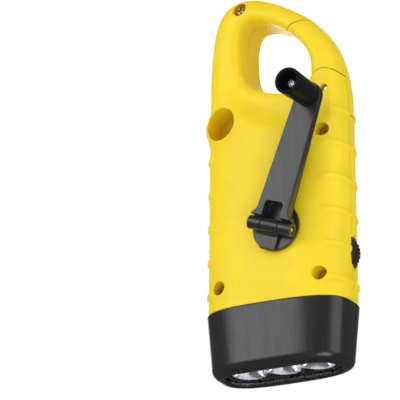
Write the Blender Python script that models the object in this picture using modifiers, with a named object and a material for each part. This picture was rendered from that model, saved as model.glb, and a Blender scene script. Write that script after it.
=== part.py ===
"""Hand crank solar flashlight with a gated carrying loop, as separate solids.

Blender 4.5, metres, +Z up. The flashlight stands on its black head with the loop on top.
The solar panel faces -Y and the folding crank faces +Y. Shapes are built about the axis of
the body, and an empty shifts them so that the origin is the bottom centre of the whole part.
"""
import bmesh
import bpy
import numpy as np
from math import atan2, cos, hypot, pi, radians, sin, sqrt
from mathutils import Matrix, Vector

# Body
BODY_HEIGHT = 0.135
HALF_WIDTH = 0.0261
BODY_HALF_DEPTH = 0.0133
SHELL_WALL = 0.0020
GAP = 0.0003
RUN_OVER = 0.0010
ROUNDING_POWER = 3.0
CAVITY_TOP = BODY_HEIGHT * 0.6193
CORE_INSET = 0.0008

# Head
HEAD_HEIGHT = 0.0222
HEAD_PROUD = 0.0004
HEAD_TAPER = 0.0008
HEAD_BOTTOM_RADIUS = 0.0034
HEAD_WALL = 0.0022
HEAD_FLOOR = 0.0030
HEAD_LIP = 0.0010
SPIGOT_WALL = 0.0012
SPIGOT_HEIGHT = 0.0030
WINDOW_LENGTH = HALF_WIDTH * 1.609
WINDOW_WIDTH = BODY_HALF_DEPTH * 1.128
LENS_THICKNESS = 0.0015
LENS_MARGIN = 0.0013
CUP_PITCH = HALF_WIDTH * 0.490
CUP_RADIUS = HALF_WIDTH * 0.234
CUP_THROAT = 0.0018
REFLECTOR_HEIGHT = 0.0098
LED_RADIUS = 0.0015
LED_HEIGHT = 0.0045
BOARD_THICKNESS = 0.0012

# Carrying loop, gate and pivot
LOOP_HALF_DEPTH = 0.0088
LOOP_ROUNDING = 0.0095
LOOP_START = BODY_HEIGHT * 0.5926
LOOP_FULL = BODY_HEIGHT * 0.8741
DISH_FRONT_DEPTH = 0.0084
DISH_BACK_OUT = 0.0055
DISH_BACK_IN = 0.0030
HOLE_EDGE_FRONT = 0.0008
HOLE_EDGE_BACK = 0.0030
GATE_PIVOT_X = HALF_WIDTH * -0.751
GATE_PIVOT_Z = BODY_HEIGHT * 0.7207
GATE_HUB_RADIUS = 0.0054
GATE_TAB_RADIUS = 0.0070
GATE_ROOT_RADIUS = 0.0094
GATE_REACH = 0.0276
GATE_SWING = radians(30.0)
GATE_TAIL_SLOPE = radians(21.0)
GATE_PIN_RADIUS = 0.0010
GATE_PIN_LENGTH = 0.0150
SPRING_COIL_RADIUS = 0.0023
SPRING_WIRE_RADIUS = 0.0003
SPRING_TURNS = 3
SPRING_PITCH = 0.0007
SPRING_LEG = 0.0046
SPRING_HOOK = 0.0018
SPRING_LEG_ANGLE = radians(62.0)
SPRING_SLOT_BEFORE = radians(8.0)
SPRING_SLOT_AFTER = radians(34.0)

# Grip ribs on both flanks
RIB_FIRST_Z = BODY_HEIGHT * 0.2148
RIB_PITCH = BODY_HEIGHT * 0.0896
RIB_COUNT = 5
RIB_HALF_HEIGHT = 0.0009
RIB_RAMP = 0.0004
RIB_PROUD = 0.0008
RIB_START_X = HALF_WIDTH * 0.728
RIB_START_WELL_SIDE = HALF_WIDTH * 0.820
RIB_FADE = 0.0012

# Crank
CRANK_X = -0.0043
CRANK_Z = BODY_HEIGHT * 0.3552
CRANK_TILT = radians(-19.0)
HUB_RADIUS = 0.0086
HUB_DISC = 0.0014
HINGE_Y = 0.0177
HINGE_OFFSET = 0.0007
KNUCKLE_RADIUS = 0.0024
BARREL_LENGTH = 0.0167
KNUCKLE_CENTRE_WIDTH = 0.0064
TONGUE_WIDTH = 0.0058
TONGUE_LENGTH = 0.0034
TONGUE_DROP = 0.0008
TONGUE_LIP = 0.0012
JOURNAL_RADIUS = 0.0030
SHAFT_RADIUS = 0.0020
SHAFT_SCREW_RADIUS = 0.0009
HINGE_PIN_RADIUS = 0.0009
ARM_RISE = 0.0002
ARM_THICKNESS = 0.0025
ARM_ROOT_DROP = 0.0014
ARM_START = 0.0025
ARM_SHOULDER = 0.0075
ARM_ROOT_WIDTH = 0.0120
ARM_TIP_RADIUS = 0.0046
ARM_WINDOW_END = 0.0081
ARM_EDGE = 0.0004
KNOB_RADIUS = 0.0047
KNOB_LENGTH = 0.0160
KNOB_WALL = 0.0010
KNOB_CUP_DEPTH = 0.0051
KNOB_SCREW_RADIUS = 0.0011
KNOB_SCREW_HEAD_RADIUS = 0.0017
WELL_X = HALF_WIDTH * 0.705
WELL_Z = BODY_HEIGHT * 0.6607
WELL_RADIUS = 0.0059
WELL_WALL = 0.0012
WELL_BULGE_RADIUS = 0.0088
WELL_ROOM = 0.0006

# Gears, with the angle from each axis to the next, measured from +X towards +Z
GEAR_MODULE = 0.0007
GEAR_THICKNESS = 0.0020
GEAR_LEVEL_STEP = 0.0024
GEAR_ADDENDUM_SHARE = 0.8
GEAR_DEDENDUM_SHARE = 1.05
GEAR_PRESSURE_ANGLE = radians(25.0)
GEAR_BACKLASH_SHARE = 0.12
CRANK_TEETH = 36
PINION_TEETH = 10
WHEEL_GEAR_TEETH = 30
GEAR_TOP_Y = 0.0092
AXLE_RADIUS = 0.0010
AXLE_HEAD_RADIUS = 0.0018
AXLE_HEAD = 0.0006
FIRST_GEAR_ANGLE = radians(75.0)
SECOND_GEAR_ANGLE = radians(-45.0)
ROTOR_ANGLE = radians(220.0)
PLATE_TOP_Y = 0.0023
PLATE_THICKNESS = 0.0018
PLATE_HALF_WIDTH = HALF_WIDTH * 0.6245
PLATE_TO_SCREW = 0.0026
POST_TO_SCREW = 0.0056
PLATE_TOP_Z = BODY_HEIGHT * 0.5778
POST_RADIUS = 0.0023
PLATE_SCREW_RADIUS = 0.0008
PLATE_SCREW_HEAD_RADIUS = 0.0018
PLATE_SCREW_HEAD = 0.0010
PLATE_SCREW_LENGTH = 0.0070
GENERATOR_RADIUS = 0.0105
GENERATOR_WALL = 0.0012
COIL_THICKNESS = 0.0014
ROTOR_RADIUS = 0.0068
ROTOR_LENGTH = 0.0042
ROTOR_SHAFT_RADIUS = 0.0008
MAIN_BOARD_Y = -0.0083
MAIN_BOARD_HALF_WIDTH = HALF_WIDTH * 0.5556
MAIN_BOARD_BOTTOM_Z = BODY_HEIGHT * 0.2000
MAIN_BOARD_TOP_Z = BODY_HEIGHT * 0.5852
BATTERY_RADIUS = 0.0100
BATTERY_THICKNESS = 0.0064
BATTERY_ROOM = 0.0010

# Solar panel
BEZEL_HALF_WIDTH = HALF_WIDTH * 0.6437
BEZEL_BOTTOM_Z = BODY_HEIGHT * 0.2104
BEZEL_TOP_Z = BODY_HEIGHT * 0.5644
BEZEL_ARCH = 0.0043
BEZEL_FRONT = 0.0149
BEZEL_CORNER = 0.0022
BEZEL_BEVEL = 0.0014
BEZEL_SEAT = 0.0110
BEZEL_SEAT_PAD = 0.0012
BEZEL_SEAT_MARGIN = 0.0008
BEZEL_LIP = 0.0009
CELL_HALF_WIDTH = HALF_WIDTH * 0.4521
CELL_BOTTOM_Z = BODY_HEIGHT * 0.2578
CELL_TOP_Z = BODY_HEIGHT * 0.5348
CELL_CORNER = 0.0018
CELL_MARGIN = 0.0013
CELL_COVER = 0.0009
CELL_STRIPS = 10
CELL_LINE = 0.0003

# Switch
WHEEL_RADIUS = 0.0072
WHEEL_X = WHEEL_RADIUS - WELL_X - WELL_BULGE_RADIUS
WHEEL_TO_SCREW = 0.0102
WHEEL_THICKNESS = 0.0046
WHEEL_TEETH = 24
WHEEL_TOOTH = 0.0004
WHEEL_FRONT_Y = -0.0044
WHEEL_SHAFT_RADIUS = 0.0012
WHEEL_SHAFT = 0.0018
SLOT_HALF_HEIGHT = 0.0070
SLOT_HALF_WIDTH = 0.0030
SLOT_DEPTH = 0.0018
SWITCH_OUT = 0.0016
SWITCH_IN = 0.0072
SWITCH_FOOT_IN = 0.0038
SWITCH_HALF_HEIGHT = 0.0042
SWITCH_THICKNESS = 0.0023

# Screws
SCREW_SHANK_RADIUS = 0.0011
SCREW_HEAD_RADIUS = 0.0021
SCREW_HEAD_HEIGHT = 0.0016
SCREW_RECESS_RADIUS = 0.0025
SCREW_BOSS_RADIUS = 0.0036
SCREW_SEAT_Y = 0.0050
SCREW_TIP_Y = -0.0054
BOSS_TO_SPIGOT = 0.0016
LOW_SCREW_Z = HEAD_HEIGHT + SPIGOT_HEIGHT + BOSS_TO_SPIGOT + SCREW_BOSS_RADIUS
WHEEL_Z = LOW_SCREW_Z + WHEEL_TO_SCREW

# Places of the four shell screws, as x and z
SHELL_SCREWS = {
    "loop": (HALF_WIDTH * 0.480, BODY_HEIGHT * 0.9674),
    "shoulder": (HALF_WIDTH * -0.7356, BODY_HEIGHT * 0.6074),
    "lower_left": (HALF_WIDTH * -0.7203, LOW_SCREW_Z),
    "lower_right": (HALF_WIDTH * 0.7203, LOW_SCREW_Z),
}
# Places of the posts that carry the gear plate
PLATE_POSTS = {
    "upper_left": (HALF_WIDTH * -0.498, BODY_HEIGHT * 0.5556),
    "upper_right": (HALF_WIDTH * 0.498, BODY_HEIGHT * 0.5556),
    "lower_right": (HALF_WIDTH * 0.517, LOW_SCREW_Z + POST_TO_SCREW),
}

# The loop is crossed by stations, from the gate's foot over the top to the spine's foot.
# Each holds the outer point and the hole's point, x as a share of the half width and z as a
# share of the height.
LOOP_OUTER_SHARES = (
    (-0.946, 0.7185), (-0.893, 0.7815), (-0.755, 0.8540), (-0.505, 0.9160),
    (-0.185, 0.9585), (0.150, 0.9895), (0.440, 1.0000), (0.690, 0.9850),
    (0.850, 0.9460), (0.930, 0.8820), (0.966, 0.8000), (0.972, 0.7259),
)
LOOP_HOLE_SHARES = (
    (-0.470, 0.7340), (-0.530, 0.7780), (-0.485, 0.8270), (-0.315, 0.8720),
    (-0.080, 0.9080), (0.150, 0.9290), (0.340, 0.9340), (0.440, 0.9230),
    (0.492, 0.8960), (0.503, 0.8550), (0.480, 0.8050), (0.400, 0.7700),
)
# Lower edge of the hole between the two feet of the loop
HOLE_FLOOR_SHARES = ((-0.470, 0.7340), (-0.330, 0.7260), (-0.050, 0.7300),
                     (0.190, 0.7430), (0.320, 0.7560), (0.400, 0.7700))
# Edge of the hollow around the hole where the face drops to the loop
DISH_SHARES = ((-1.10, 0.6420), (-0.620, 0.6420), (-0.160, 0.6550), (0.155, 0.6780),
               (0.440, 0.7150), (0.590, 0.7630), (0.690, 0.8160), (0.730, 0.8700),
               (0.700, 0.9300), (0.600, 1.1000))
# Columns across a bar of the loop, from the outer edge to the hole
BAR_SHARES = (0, 0.012, 0.05, 0.125, 0.25, 0.45, 0.70, 0.90, 0.97, 1)
FLOOR_STEPS = 6
LOOP_STEPS = 2
STRAIGHT_TOP_SHARE = 0.607
MORPH_SHARES = (0.20, 0.417, 0.444, 0.563, 0.589, 0.70, 0.82, 0.92, 0.975, 1)

YELLOW = (0.905, 0.690, 0.012)
CHARCOAL = (0.055, 0.056, 0.058)
BLACK = (0.012, 0.012, 0.013)
ARM_GREY = (0.150, 0.150, 0.155)
STEEL = (0.62, 0.62, 0.60)
BRASS = (0.72, 0.55, 0.22)
NYLON = (0.86, 0.85, 0.80)
CELL_BROWN = (0.160, 0.095, 0.045)
BOARD_GREEN = (0.030, 0.180, 0.070)
CLEAR = (0.90, 0.93, 0.95)
CHROME = (0.85, 0.86, 0.87)
BATTERY_BLUE = (0.10, 0.22, 0.55)
COPPER = (0.72, 0.30, 0.12)


def clear_scene():
    for item in list(bpy.data.objects):
        bpy.data.objects.remove(item, do_unlink=True)


def new_collection(name):
    group = bpy.data.collections.new(name)
    bpy.context.scene.collection.children.link(group)
    return group


clear_scene()
PARTS = new_collection("hand_crank_flashlight")
CUTTERS = new_collection("cutters")


def empty(name, location=(0, 0, 0), turn_y=0, parent=None):
    item = bpy.data.objects.new(name, None)
    item.location = location
    item.rotation_euler = (0, turn_y, 0)
    item.parent = parent
    PARTS.objects.link(item)
    return item


def material(name, color, roughness, metallic=0, transmission=0):
    made = bpy.data.materials.get(name)
    if made:
        return made
    made = bpy.data.materials.new(name)
    made.use_nodes = True
    shader = made.node_tree.nodes["Principled BSDF"]
    shader.inputs["Base Color"].default_value = (*color, 1)
    shader.inputs["Roughness"].default_value = roughness
    shader.inputs["Metallic"].default_value = metallic
    shader.inputs["Transmission Weight"].default_value = transmission
    made.diffuse_color = (*color, 1)
    return made


def finish_mesh(bm, name, group, parent=None, origin=(0, 0, 0)):
    """Turns the bmesh into an object whose origin lies at the given point."""
    bmesh.ops.remove_doubles(bm, verts=bm.verts, dist=GAP * 1e-3)
    bmesh.ops.recalc_face_normals(bm, faces=bm.faces)
    mesh = bpy.data.meshes.new(name)
    bmesh.ops.translate(bm, verts=bm.verts, vec=-Vector(origin))
    bm.to_mesh(mesh)
    bm.free()
    item = bpy.data.objects.new(name, mesh)
    item.location = origin
    item.parent = parent
    group.objects.link(item)
    return item


def as_cutter(item):
    item.hide_render = True
    item.display_type = "WIRE"
    return item


def boolean(item, operand, operation):
    step = item.modifiers.new(operand.name, "BOOLEAN")
    step.operation = operation
    step.solver = "EXACT"
    step.object = operand
    return item


def cut(item, *cutters):
    for cutter in cutters:
        boolean(item, cutter, "DIFFERENCE")


def join(item, *others):
    for other in others:
        boolean(item, other, "UNION")


def keep(item, other):
    boolean(item, other, "INTERSECT")


def paint(item, *look, smooth=True):
    item.data.materials.clear()
    item.data.materials.append(material(*look))
    if smooth:
        item.data.shade_smooth()
        item.data.set_sharp_from_angle(angle=radians(35))
    return item


def ring_points(radius, segments, start=0, sweep=2 * pi):
    count = segments if sweep == 2 * pi else segments + 1
    return [(radius * cos(start + sweep * i / segments), radius * sin(start + sweep * i / segments))
            for i in range(count)]


def prism(name, outline, y_low, y_high, group=None, parent=None, origin=(0, 0, 0)):
    """A flat outline in X and Z, given as x, z points, pulled from y_low to y_high."""
    bm = bmesh.new()
    low = [bm.verts.new((x, y_low, z)) for x, z in outline]
    face = bm.faces.new(low)
    pulled = bmesh.ops.extrude_face_region(bm, geom=[face])["geom"]
    moved = [v for v in pulled if isinstance(v, bmesh.types.BMVert)]
    bmesh.ops.translate(bm, verts=moved, vec=(0, y_high - y_low, 0))
    return finish_mesh(bm, name, group or CUTTERS, parent, origin)


def slab(name, outline, z_low, z_high, group=None, parent=None):
    """A flat outline in X and Y, pulled from z_low to z_high."""
    bm = bmesh.new()
    low = [bm.verts.new((x, y, z_low)) for x, y in outline]
    face = bm.faces.new(low)
    pulled = bmesh.ops.extrude_face_region(bm, geom=[face])["geom"]
    moved = [v for v in pulled if isinstance(v, bmesh.types.BMVert)]
    bmesh.ops.translate(bm, verts=moved, vec=(0, 0, z_high - z_low))
    return finish_mesh(bm, name, group or CUTTERS, parent)


def disc_y(name, x, z, radius, y_low, y_high, segments=24, group=None, parent=None, origin=None,
           top_radius=None):
    """A cylinder or cone along Y between two levels."""
    bm = bmesh.new()
    top = radius if top_radius is None else top_radius
    bmesh.ops.create_cone(bm, cap_ends=True, segments=segments, radius1=radius, radius2=top,
                          depth=y_high - y_low)
    bmesh.ops.rotate(bm, verts=bm.verts, matrix=Matrix.Rotation(-pi / 2, 3, "X"))
    bmesh.ops.translate(bm, verts=bm.verts, vec=(x, (y_low + y_high) / 2, z))
    return finish_mesh(bm, name, group or CUTTERS, parent, origin or (0, 0, 0))


def rod_x(name, x_low, x_high, y, z, radius, segments=20, group=None, parent=None):
    bm = bmesh.new()
    bmesh.ops.create_cone(bm, cap_ends=True, segments=segments, radius1=radius, radius2=radius,
                          depth=x_high - x_low)
    bmesh.ops.rotate(bm, verts=bm.verts, matrix=Matrix.Rotation(pi / 2, 3, "Y"))
    bmesh.ops.translate(bm, verts=bm.verts, vec=((x_low + x_high) / 2, y, z))
    return finish_mesh(bm, name, group or CUTTERS, parent)


def block(name, low, high, group=None, parent=None, bevel=0):
    bm = bmesh.new()
    bmesh.ops.create_cube(bm, size=1)
    size = [b - a for a, b in zip(low, high)]
    centre = [(a + b) / 2 for a, b in zip(low, high)]
    bmesh.ops.scale(bm, verts=bm.verts, vec=size)
    bmesh.ops.translate(bm, verts=bm.verts, vec=centre)
    if bevel:
        bmesh.ops.bevel(bm, geom=bm.edges, offset=bevel, segments=1, affect="EDGES")
    return finish_mesh(bm, name, group or CUTTERS, parent)


def turned(name, profile, segments, place, axis, group=None, parent=None):
    """A profile of (radius, height) points, outer side top to bottom, turned by a Screw."""
    mesh = bpy.data.meshes.new(name)
    points = [(radius, 0, height) for radius, height in profile]
    edges = [(i, i + 1) for i in range(len(points) - 1)]
    if profile[0][0] > 0:
        edges.append((len(points) - 1, 0))
    mesh.from_pydata(points, edges, [])
    item = bpy.data.objects.new(name, mesh)
    screw = item.modifiers.new("turn", "SCREW")
    screw.axis = "Z"
    screw.steps = segments
    screw.render_steps = segments
    screw.use_merge_vertices = True
    screw.merge_threshold = GAP * 0.01
    item.location = place
    if axis == "Y":
        item.rotation_euler = (-pi / 2, 0, 0)
    if axis == "-Z":
        item.rotation_euler = (pi, 0, 0)
    item.parent = parent
    (group or CUTTERS).objects.link(item)
    return item


def as_mesh(item, name, group, origin=(0, 0, 0), parent=None):
    """Replaces an object by a plain mesh of how it looks, for pieces used in a Boolean."""
    bpy.context.view_layer.update()
    graph = bpy.context.evaluated_depsgraph_get()
    mesh = bpy.data.meshes.new_from_object(item.evaluated_get(graph))
    mesh.transform(item.matrix_world)
    bpy.data.objects.remove(item)
    bm = bmesh.new()
    bm.from_mesh(mesh)
    return finish_mesh(bm, name, group, parent, origin)


def blend_share(value, low, high):
    share = np.clip((value - low) / (high - low), 0, 1)
    return share * share * (3 - 2 * share)


def curve_through(points, steps):
    """Catmull-Rom curve through the points, with the given steps between neighbours."""
    pts = np.asarray(points, dtype=float)
    before = 2 * pts[0] - pts[1]
    after = 2 * pts[-1] - pts[-2]
    pts = np.vstack([before, pts, after])
    made = []
    for i in range(1, len(pts) - 2):
        a, b, c, d = pts[i - 1:i + 3]
        for k in range(steps):
            t = k / steps
            made.append(0.5 * (2 * b + (c - a) * t + (2 * a - 5 * b + 4 * c - d) * t * t
                               + (3 * b - a - 3 * c + d) * t ** 3))
    made.append(pts[-2])
    return np.array(made)


def shares_to_points(shares):
    return [(x * HALF_WIDTH, z * BODY_HEIGHT) for x, z in shares]


def pushed(line, distance):
    """Moves a polyline sideways, to its right-hand side seen from the front."""
    ahead = np.gradient(line, axis=0)
    ahead /= np.linalg.norm(ahead, axis=1)[:, None]
    return line + distance * np.stack([ahead[:, 1], -ahead[:, 0]], axis=1)


def distance_to(points, line):
    """Least distance from each point to a polyline."""
    best = np.full(len(points), np.inf)
    for a, b in zip(line[:-1], line[1:]):
        along = b - a
        share = np.clip(((points - a) @ along) / (along @ along), 0, 1)
        best = np.minimum(best, np.linalg.norm(points - (a + share[:, None] * along), axis=1))
    return best


def flank_x(z, side, inset):
    """Outer edge of the body below the loop, with the bulge round the knob well."""
    foot = LOOP_OUTER_SHARES[0 if side < 0 else -1]
    share = (z - HEAD_HEIGHT) / (foot[1] * BODY_HEIGHT - HEAD_HEIGHT)
    edge = HALF_WIDTH + (abs(foot[0]) * HALF_WIDTH - HALF_WIDTH) * share
    if side > 0:
        reach = WELL_BULGE_RADIUS ** 2 - (z - WELL_Z) ** 2
        if reach > 0:
            edge = max(edge, WELL_X + sqrt(reach))
    return side * (edge - inset)


class Form:
    """The outer form of the body and loop, or a parallel form inside it."""

    def __init__(self, inset=0, fine=1):
        self.inset = inset
        steps = LOOP_STEPS * fine
        outer = curve_through(shares_to_points(LOOP_OUTER_SHARES), steps)
        hole = curve_through(shares_to_points(LOOP_HOLE_SHARES), steps)
        self.outer = pushed(outer, inset)
        self.hole = pushed(hole, -inset)
        floor = curve_through(shares_to_points(HOLE_FLOOR_SHARES), FLOOR_STEPS)
        self.floor = floor + np.array([0, -inset])
        dense_outer = pushed(curve_through(shares_to_points(LOOP_OUTER_SHARES), 4 * steps), inset)
        heights = np.linspace(-BODY_HEIGHT, dense_outer[0][1], 90)
        left = np.array([(flank_x(z, -1, inset), z) for z in heights])
        heights = np.linspace(dense_outer[-1][1], -BODY_HEIGHT, 90)
        right = np.array([(flank_x(z, 1, inset), z) for z in heights])
        self.edge = np.vstack([left, dense_outer[1:-1], right])
        self.rim = np.vstack([self.hole, self.floor[::-1][1:]])
        self.dish = curve_through(shares_to_points(DISH_SHARES), 6)

    def heights(self, points, side):
        """How far the face stands from the parting plane; side is 1 at the back."""
        points = np.asarray(points, dtype=float)
        z = points[:, 1]
        up = blend_share(z, LOOP_START, LOOP_FULL)
        depth = BODY_HALF_DEPTH + (LOOP_HALF_DEPTH - BODY_HALF_DEPTH) * up - self.inset
        reach = HALF_WIDTH + (LOOP_ROUNDING - HALF_WIDTH) * up - self.inset
        away = distance_to(points, self.edge)
        part = 1 - np.clip(away / reach, 0, 1)
        tall = depth * (1 - part ** ROUNDING_POWER) ** (1 / ROUNDING_POWER)
        if side > 0:
            inside = blend_share(-self.side_of_dish(points), -DISH_BACK_OUT, DISH_BACK_IN)
            lowered = np.minimum(tall, LOOP_HALF_DEPTH - self.inset)
            tall = tall + (lowered - tall) * inside
        if self.inset:
            return tall
        edge = HOLE_EDGE_BACK if side > 0 else HOLE_EDGE_FRONT
        near = 1 - np.clip(distance_to(points, self.rim) / edge, 0, 1)
        return tall - edge * (1 - np.sqrt(1 - near ** 2))

    def side_of_dish(self, points):
        """Signed distance to the dish's edge, negative on the side of the hole."""
        distance = distance_to(points, self.dish)
        closest = np.full(len(points), np.inf)
        sign = np.ones(len(points))
        for a, b in zip(self.dish[:-1], self.dish[1:]):
            along = b - a
            share = np.clip(((points - a) @ along) / (along @ along), 0, 1)
            gone = np.linalg.norm(points - (a + share[:, None] * along), axis=1)
            side = (points - a) @ np.array([along[1], -along[0]])
            nearer = gone < closest - 1e-12
            closest = np.where(nearer, gone, closest)
            sign = np.where(nearer, np.where(side > 0, 1.0, -1.0), sign)
        return distance * sign


def rib_heights():
    return [RIB_FIRST_Z + RIB_PITCH * i for i in range(RIB_COUNT)]


def rib_rows():
    rows = []
    for middle in rib_heights():
        for reach in (-RIB_HALF_HEIGHT - RIB_RAMP, -RIB_HALF_HEIGHT,
                      RIB_HALF_HEIGHT, RIB_HALF_HEIGHT + RIB_RAMP):
            rows.append(middle + reach)
    return rows


def rib_share(x, z):
    """How far a point stands proud as part of a rib, from 0 to 1."""
    up = 0
    bands = list(rib_heights())
    if x < 0:
        bands.append(RIB_FIRST_Z + RIB_PITCH * RIB_COUNT)
    for middle in bands:
        away = abs(z - middle)
        up = max(up, 1 - max(0, away - RIB_HALF_HEIGHT) / RIB_RAMP)
    start = RIB_START_X if x < 0 else RIB_START_WELL_SIDE
    wide = float(blend_share(abs(x), start, start + RIB_FADE))
    return max(0, up) * wide


def plan_rows(form, z_low, z_high=None, ribs=True):
    """Rows of plan points for the body, and stations across the loop."""
    left_foot = form.outer[0] + np.outer(BAR_SHARES, form.hole[0] - form.outer[0])
    right_foot = form.outer[-1] + np.outer(BAR_SHARES, form.hole[-1] - form.outer[-1])
    picks = np.linspace(0, len(form.floor) - 1, FLOOR_STEPS + 1).round().astype(int)
    middle = form.floor[picks]
    top = np.vstack([left_foot, middle[1:-1], right_foot[::-1]])
    straight_top = STRAIGHT_TOP_SHARE * BODY_HEIGHT
    levels = [z_low] + ([z for z in rib_rows() if z > z_low] if ribs else [])
    if not ribs:
        levels += list(np.linspace(z_low, straight_top, 7)[1:-1])
    levels.append(straight_top)
    span = top[:, 0]
    low_x, high_x = span[0], span[-1]
    rows = []
    for z in levels:
        left, right = flank_x(z, -1, form.inset), flank_x(z, 1, form.inset)
        share = (span - low_x) / (high_x - low_x)
        rows.append(np.stack([left + (right - left) * share, np.full(len(span), z)], axis=1))
    base = rows[-1]
    for share in MORPH_SHARES:
        row = base + (top - base) * share
        row[0, 0] = flank_x(row[0, 1], -1, form.inset)
        row[-1, 0] = flank_x(row[-1, 1], 1, form.inset)
        rows.append(row)
    if z_high is not None:
        rows = [row for row in rows if row[0, 1] < z_high]
        left, right = flank_x(z_high, -1, form.inset), flank_x(z_high, 1, form.inset)
        share = (span - low_x) / (high_x - low_x)
        rows.append(np.stack([left + (right - left) * share, np.full(len(span), z_high)], axis=1))
    stations = [o + np.outer(BAR_SHARES, h - o) for o, h in zip(form.outer, form.hole)]
    return rows, stations


def face_sheet(bm, form, side, rows, stations, level, ribs):
    """One face of the form as a grid of quads; returns its rows of vertices."""
    grid = []
    for r, row in enumerate(rows):
        tall = form.heights(row, side)
        tall[0] = 0
        tall[-1] = 0
        line = []
        for i, ((x, z), up) in enumerate(zip(row, tall)):
            if ribs:
                proud = RIB_PROUD * rib_share(x, z)
                lean = 1 - up / BODY_HALF_DEPTH
                x += proud * sqrt(max(lean, 0)) * (1 if x > 0 else -1)
                up += proud * (1 - max(lean, 0)) * (0 < i < len(row) - 1)
            line.append(bm.verts.new((x, side * (level + up), z)))
        grid.append(line)
    for low, high in zip(grid[:-1], grid[1:]):
        for i in range(len(low) - 1):
            bm.faces.new((low[i], low[i + 1], high[i + 1], high[i]))
    lines = []
    if stations:
        count = len(BAR_SHARES)
        top = grid[-1]
        for s, row in enumerate(stations):
            if s == 0:
                lines.append(top[:count])
                continue
            if s == len(stations) - 1:
                lines.append(top[::-1][:count])
                continue
            tall = form.heights(row, side)
            tall[0] = 0
            lines.append([bm.verts.new((x, side * (level + up), z))
                          for (x, z), up in zip(row, tall)])
        for low, high in zip(lines[:-1], lines[1:]):
            for i in range(count - 1):
                bm.faces.new((low[i], low[i + 1], high[i + 1], high[i]))
    return grid, lines


def rim_loops(grid, lines):
    """Vertices along the outer edge and along the hole of one face."""
    count = len(BAR_SHARES)
    outer = [row[0] for row in grid] + [line[0] for line in lines[1:-1]]
    outer += [row[-1] for row in grid[::-1]]
    top = grid[-1]
    hole = [line[-1] for line in lines] + top[::-1][count:len(top) - count]
    return outer, hole


def half_form(name, side, form, z_low, level, group):
    """A solid half of the body and loop, flat at the parting plane."""
    bm = bmesh.new()
    rows, stations = plan_rows(form, z_low)
    grid, lines = face_sheet(bm, form, side, rows, stations, level, True)
    outer, hole = rim_loops(grid, lines)
    floor = [bm.verts.new((v.co.x, side * level, v.co.z)) for v in hole]
    for i in range(len(hole)):
        k = (i + 1) % len(hole)
        bm.faces.new((hole[i], hole[k], floor[k], floor[i]))
    bm.faces.new(grid[0])
    bm.edges.ensure_lookup_table()
    edges = []
    for ring in (outer, floor):
        for i in range(len(ring)):
            a, b = ring[i], ring[(i + 1) % len(ring)]
            edges.append(bm.edges.get((a, b)) or bm.edges.new((a, b)))
    bmesh.ops.triangle_fill(bm, use_beauty=True, edges=edges)
    return finish_mesh(bm, name, group, ROOT)


def whole_form(name, form, z_low, group, ribs):
    """The body and loop as one closed solid, both faces."""
    bm = bmesh.new()
    rows, stations = plan_rows(form, z_low, ribs=ribs)
    loops = []
    for side in (1, -1):
        grid, lines = face_sheet(bm, form, side, rows, stations, 0, ribs)
        loops.append(rim_loops(grid, lines)[1])
        bm.faces.new(grid[0])
    for i in range(len(loops[0])):
        k = (i + 1) % len(loops[0])
        bm.faces.new((loops[0][i], loops[0][k], loops[1][k], loops[1][i]))
    return finish_mesh(bm, name, group, ROOT)


def cavity_form(name, z_low, z_high):
    """The hollow of the body between the shells, open below."""
    form = Form(SHELL_WALL)
    bm = bmesh.new()
    rows = plan_rows(form, z_low, z_high, ribs=False)[0]
    for side in (1, -1):
        grid = face_sheet(bm, form, side, rows, None, 0, False)[0]
        bm.faces.new(grid[0])
        bm.faces.new(grid[-1])
    return finish_mesh(bm, name, CUTTERS, ROOT)


def cross_ring(half_x, half_y, z, count=48):
    """A closed ring of the body's rounded cross-section at one height."""
    points = []
    for i in range(count):
        angle = 2 * pi * i / count
        x, y = cos(angle), sin(angle)
        points.append((half_x * abs(x) ** (2 / ROUNDING_POWER) * (1 if x > 0 else -1),
                       half_y * abs(y) ** (2 / ROUNDING_POWER) * (1 if y > 0 else -1), z))
    return points


def panel_ring(y, inset, half_width, low, high, corner, arch, steps=4):
    """A ring round an upright panel with rounded corners and an arched top."""
    half, low, high, corner = half_width - inset, low + inset, high - inset, corner - inset / 2
    points = []
    for x, z, start in ((half - corner, low + corner, -pi / 2), (half - corner, high - corner, 0),
                        (corner - half, high - corner, pi / 2), (corner - half, low + corner, pi)):
        for i in range(steps + 1):
            angle = start + pi / 2 * i / steps
            points.append((x + corner * cos(angle), y, z + corner * sin(angle)))
        if start == 0:
            for i in range(1, 2 * steps):
                across = 1 - i / steps
                rise = arch * (1 - across ** 2)
                points.append(((half - corner) * across, y, high + rise))
    return points


def stadium(length, width, segments=12):
    """The outline of a slot with round ends, about the axis of the body."""
    radius = width / 2
    reach = length / 2 - radius
    right = [(reach + x, y) for x, y in ring_points(radius, segments, -pi / 2, pi)]
    left = [(x - reach, y) for x, y in ring_points(radius, segments, pi / 2, pi)]
    return right + left


def lofted(name, rings, group=None, parent=None, origin=(0, 0, 0)):
    """Joins rings of equal count one after another and caps both ends."""
    bm = bmesh.new()
    lines = [[bm.verts.new(point) for point in ring] for ring in rings]
    for low, high in zip(lines[:-1], lines[1:]):
        for i in range(len(low)):
            k = (i + 1) % len(low)
            bm.faces.new((low[i], low[k], high[k], high[i]))
    bm.faces.new(lines[0])
    bm.faces.new(lines[-1])
    return finish_mesh(bm, name, group or CUTTERS, parent, origin)


def around(x, z, radius, start, end, steps):
    """Points of an arc in X and Z, angles from +X towards +Z."""
    return [(x + radius * cos(start + (end - start) * i / steps),
             z + radius * sin(start + (end - start) * i / steps)) for i in range(steps + 1)]


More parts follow.
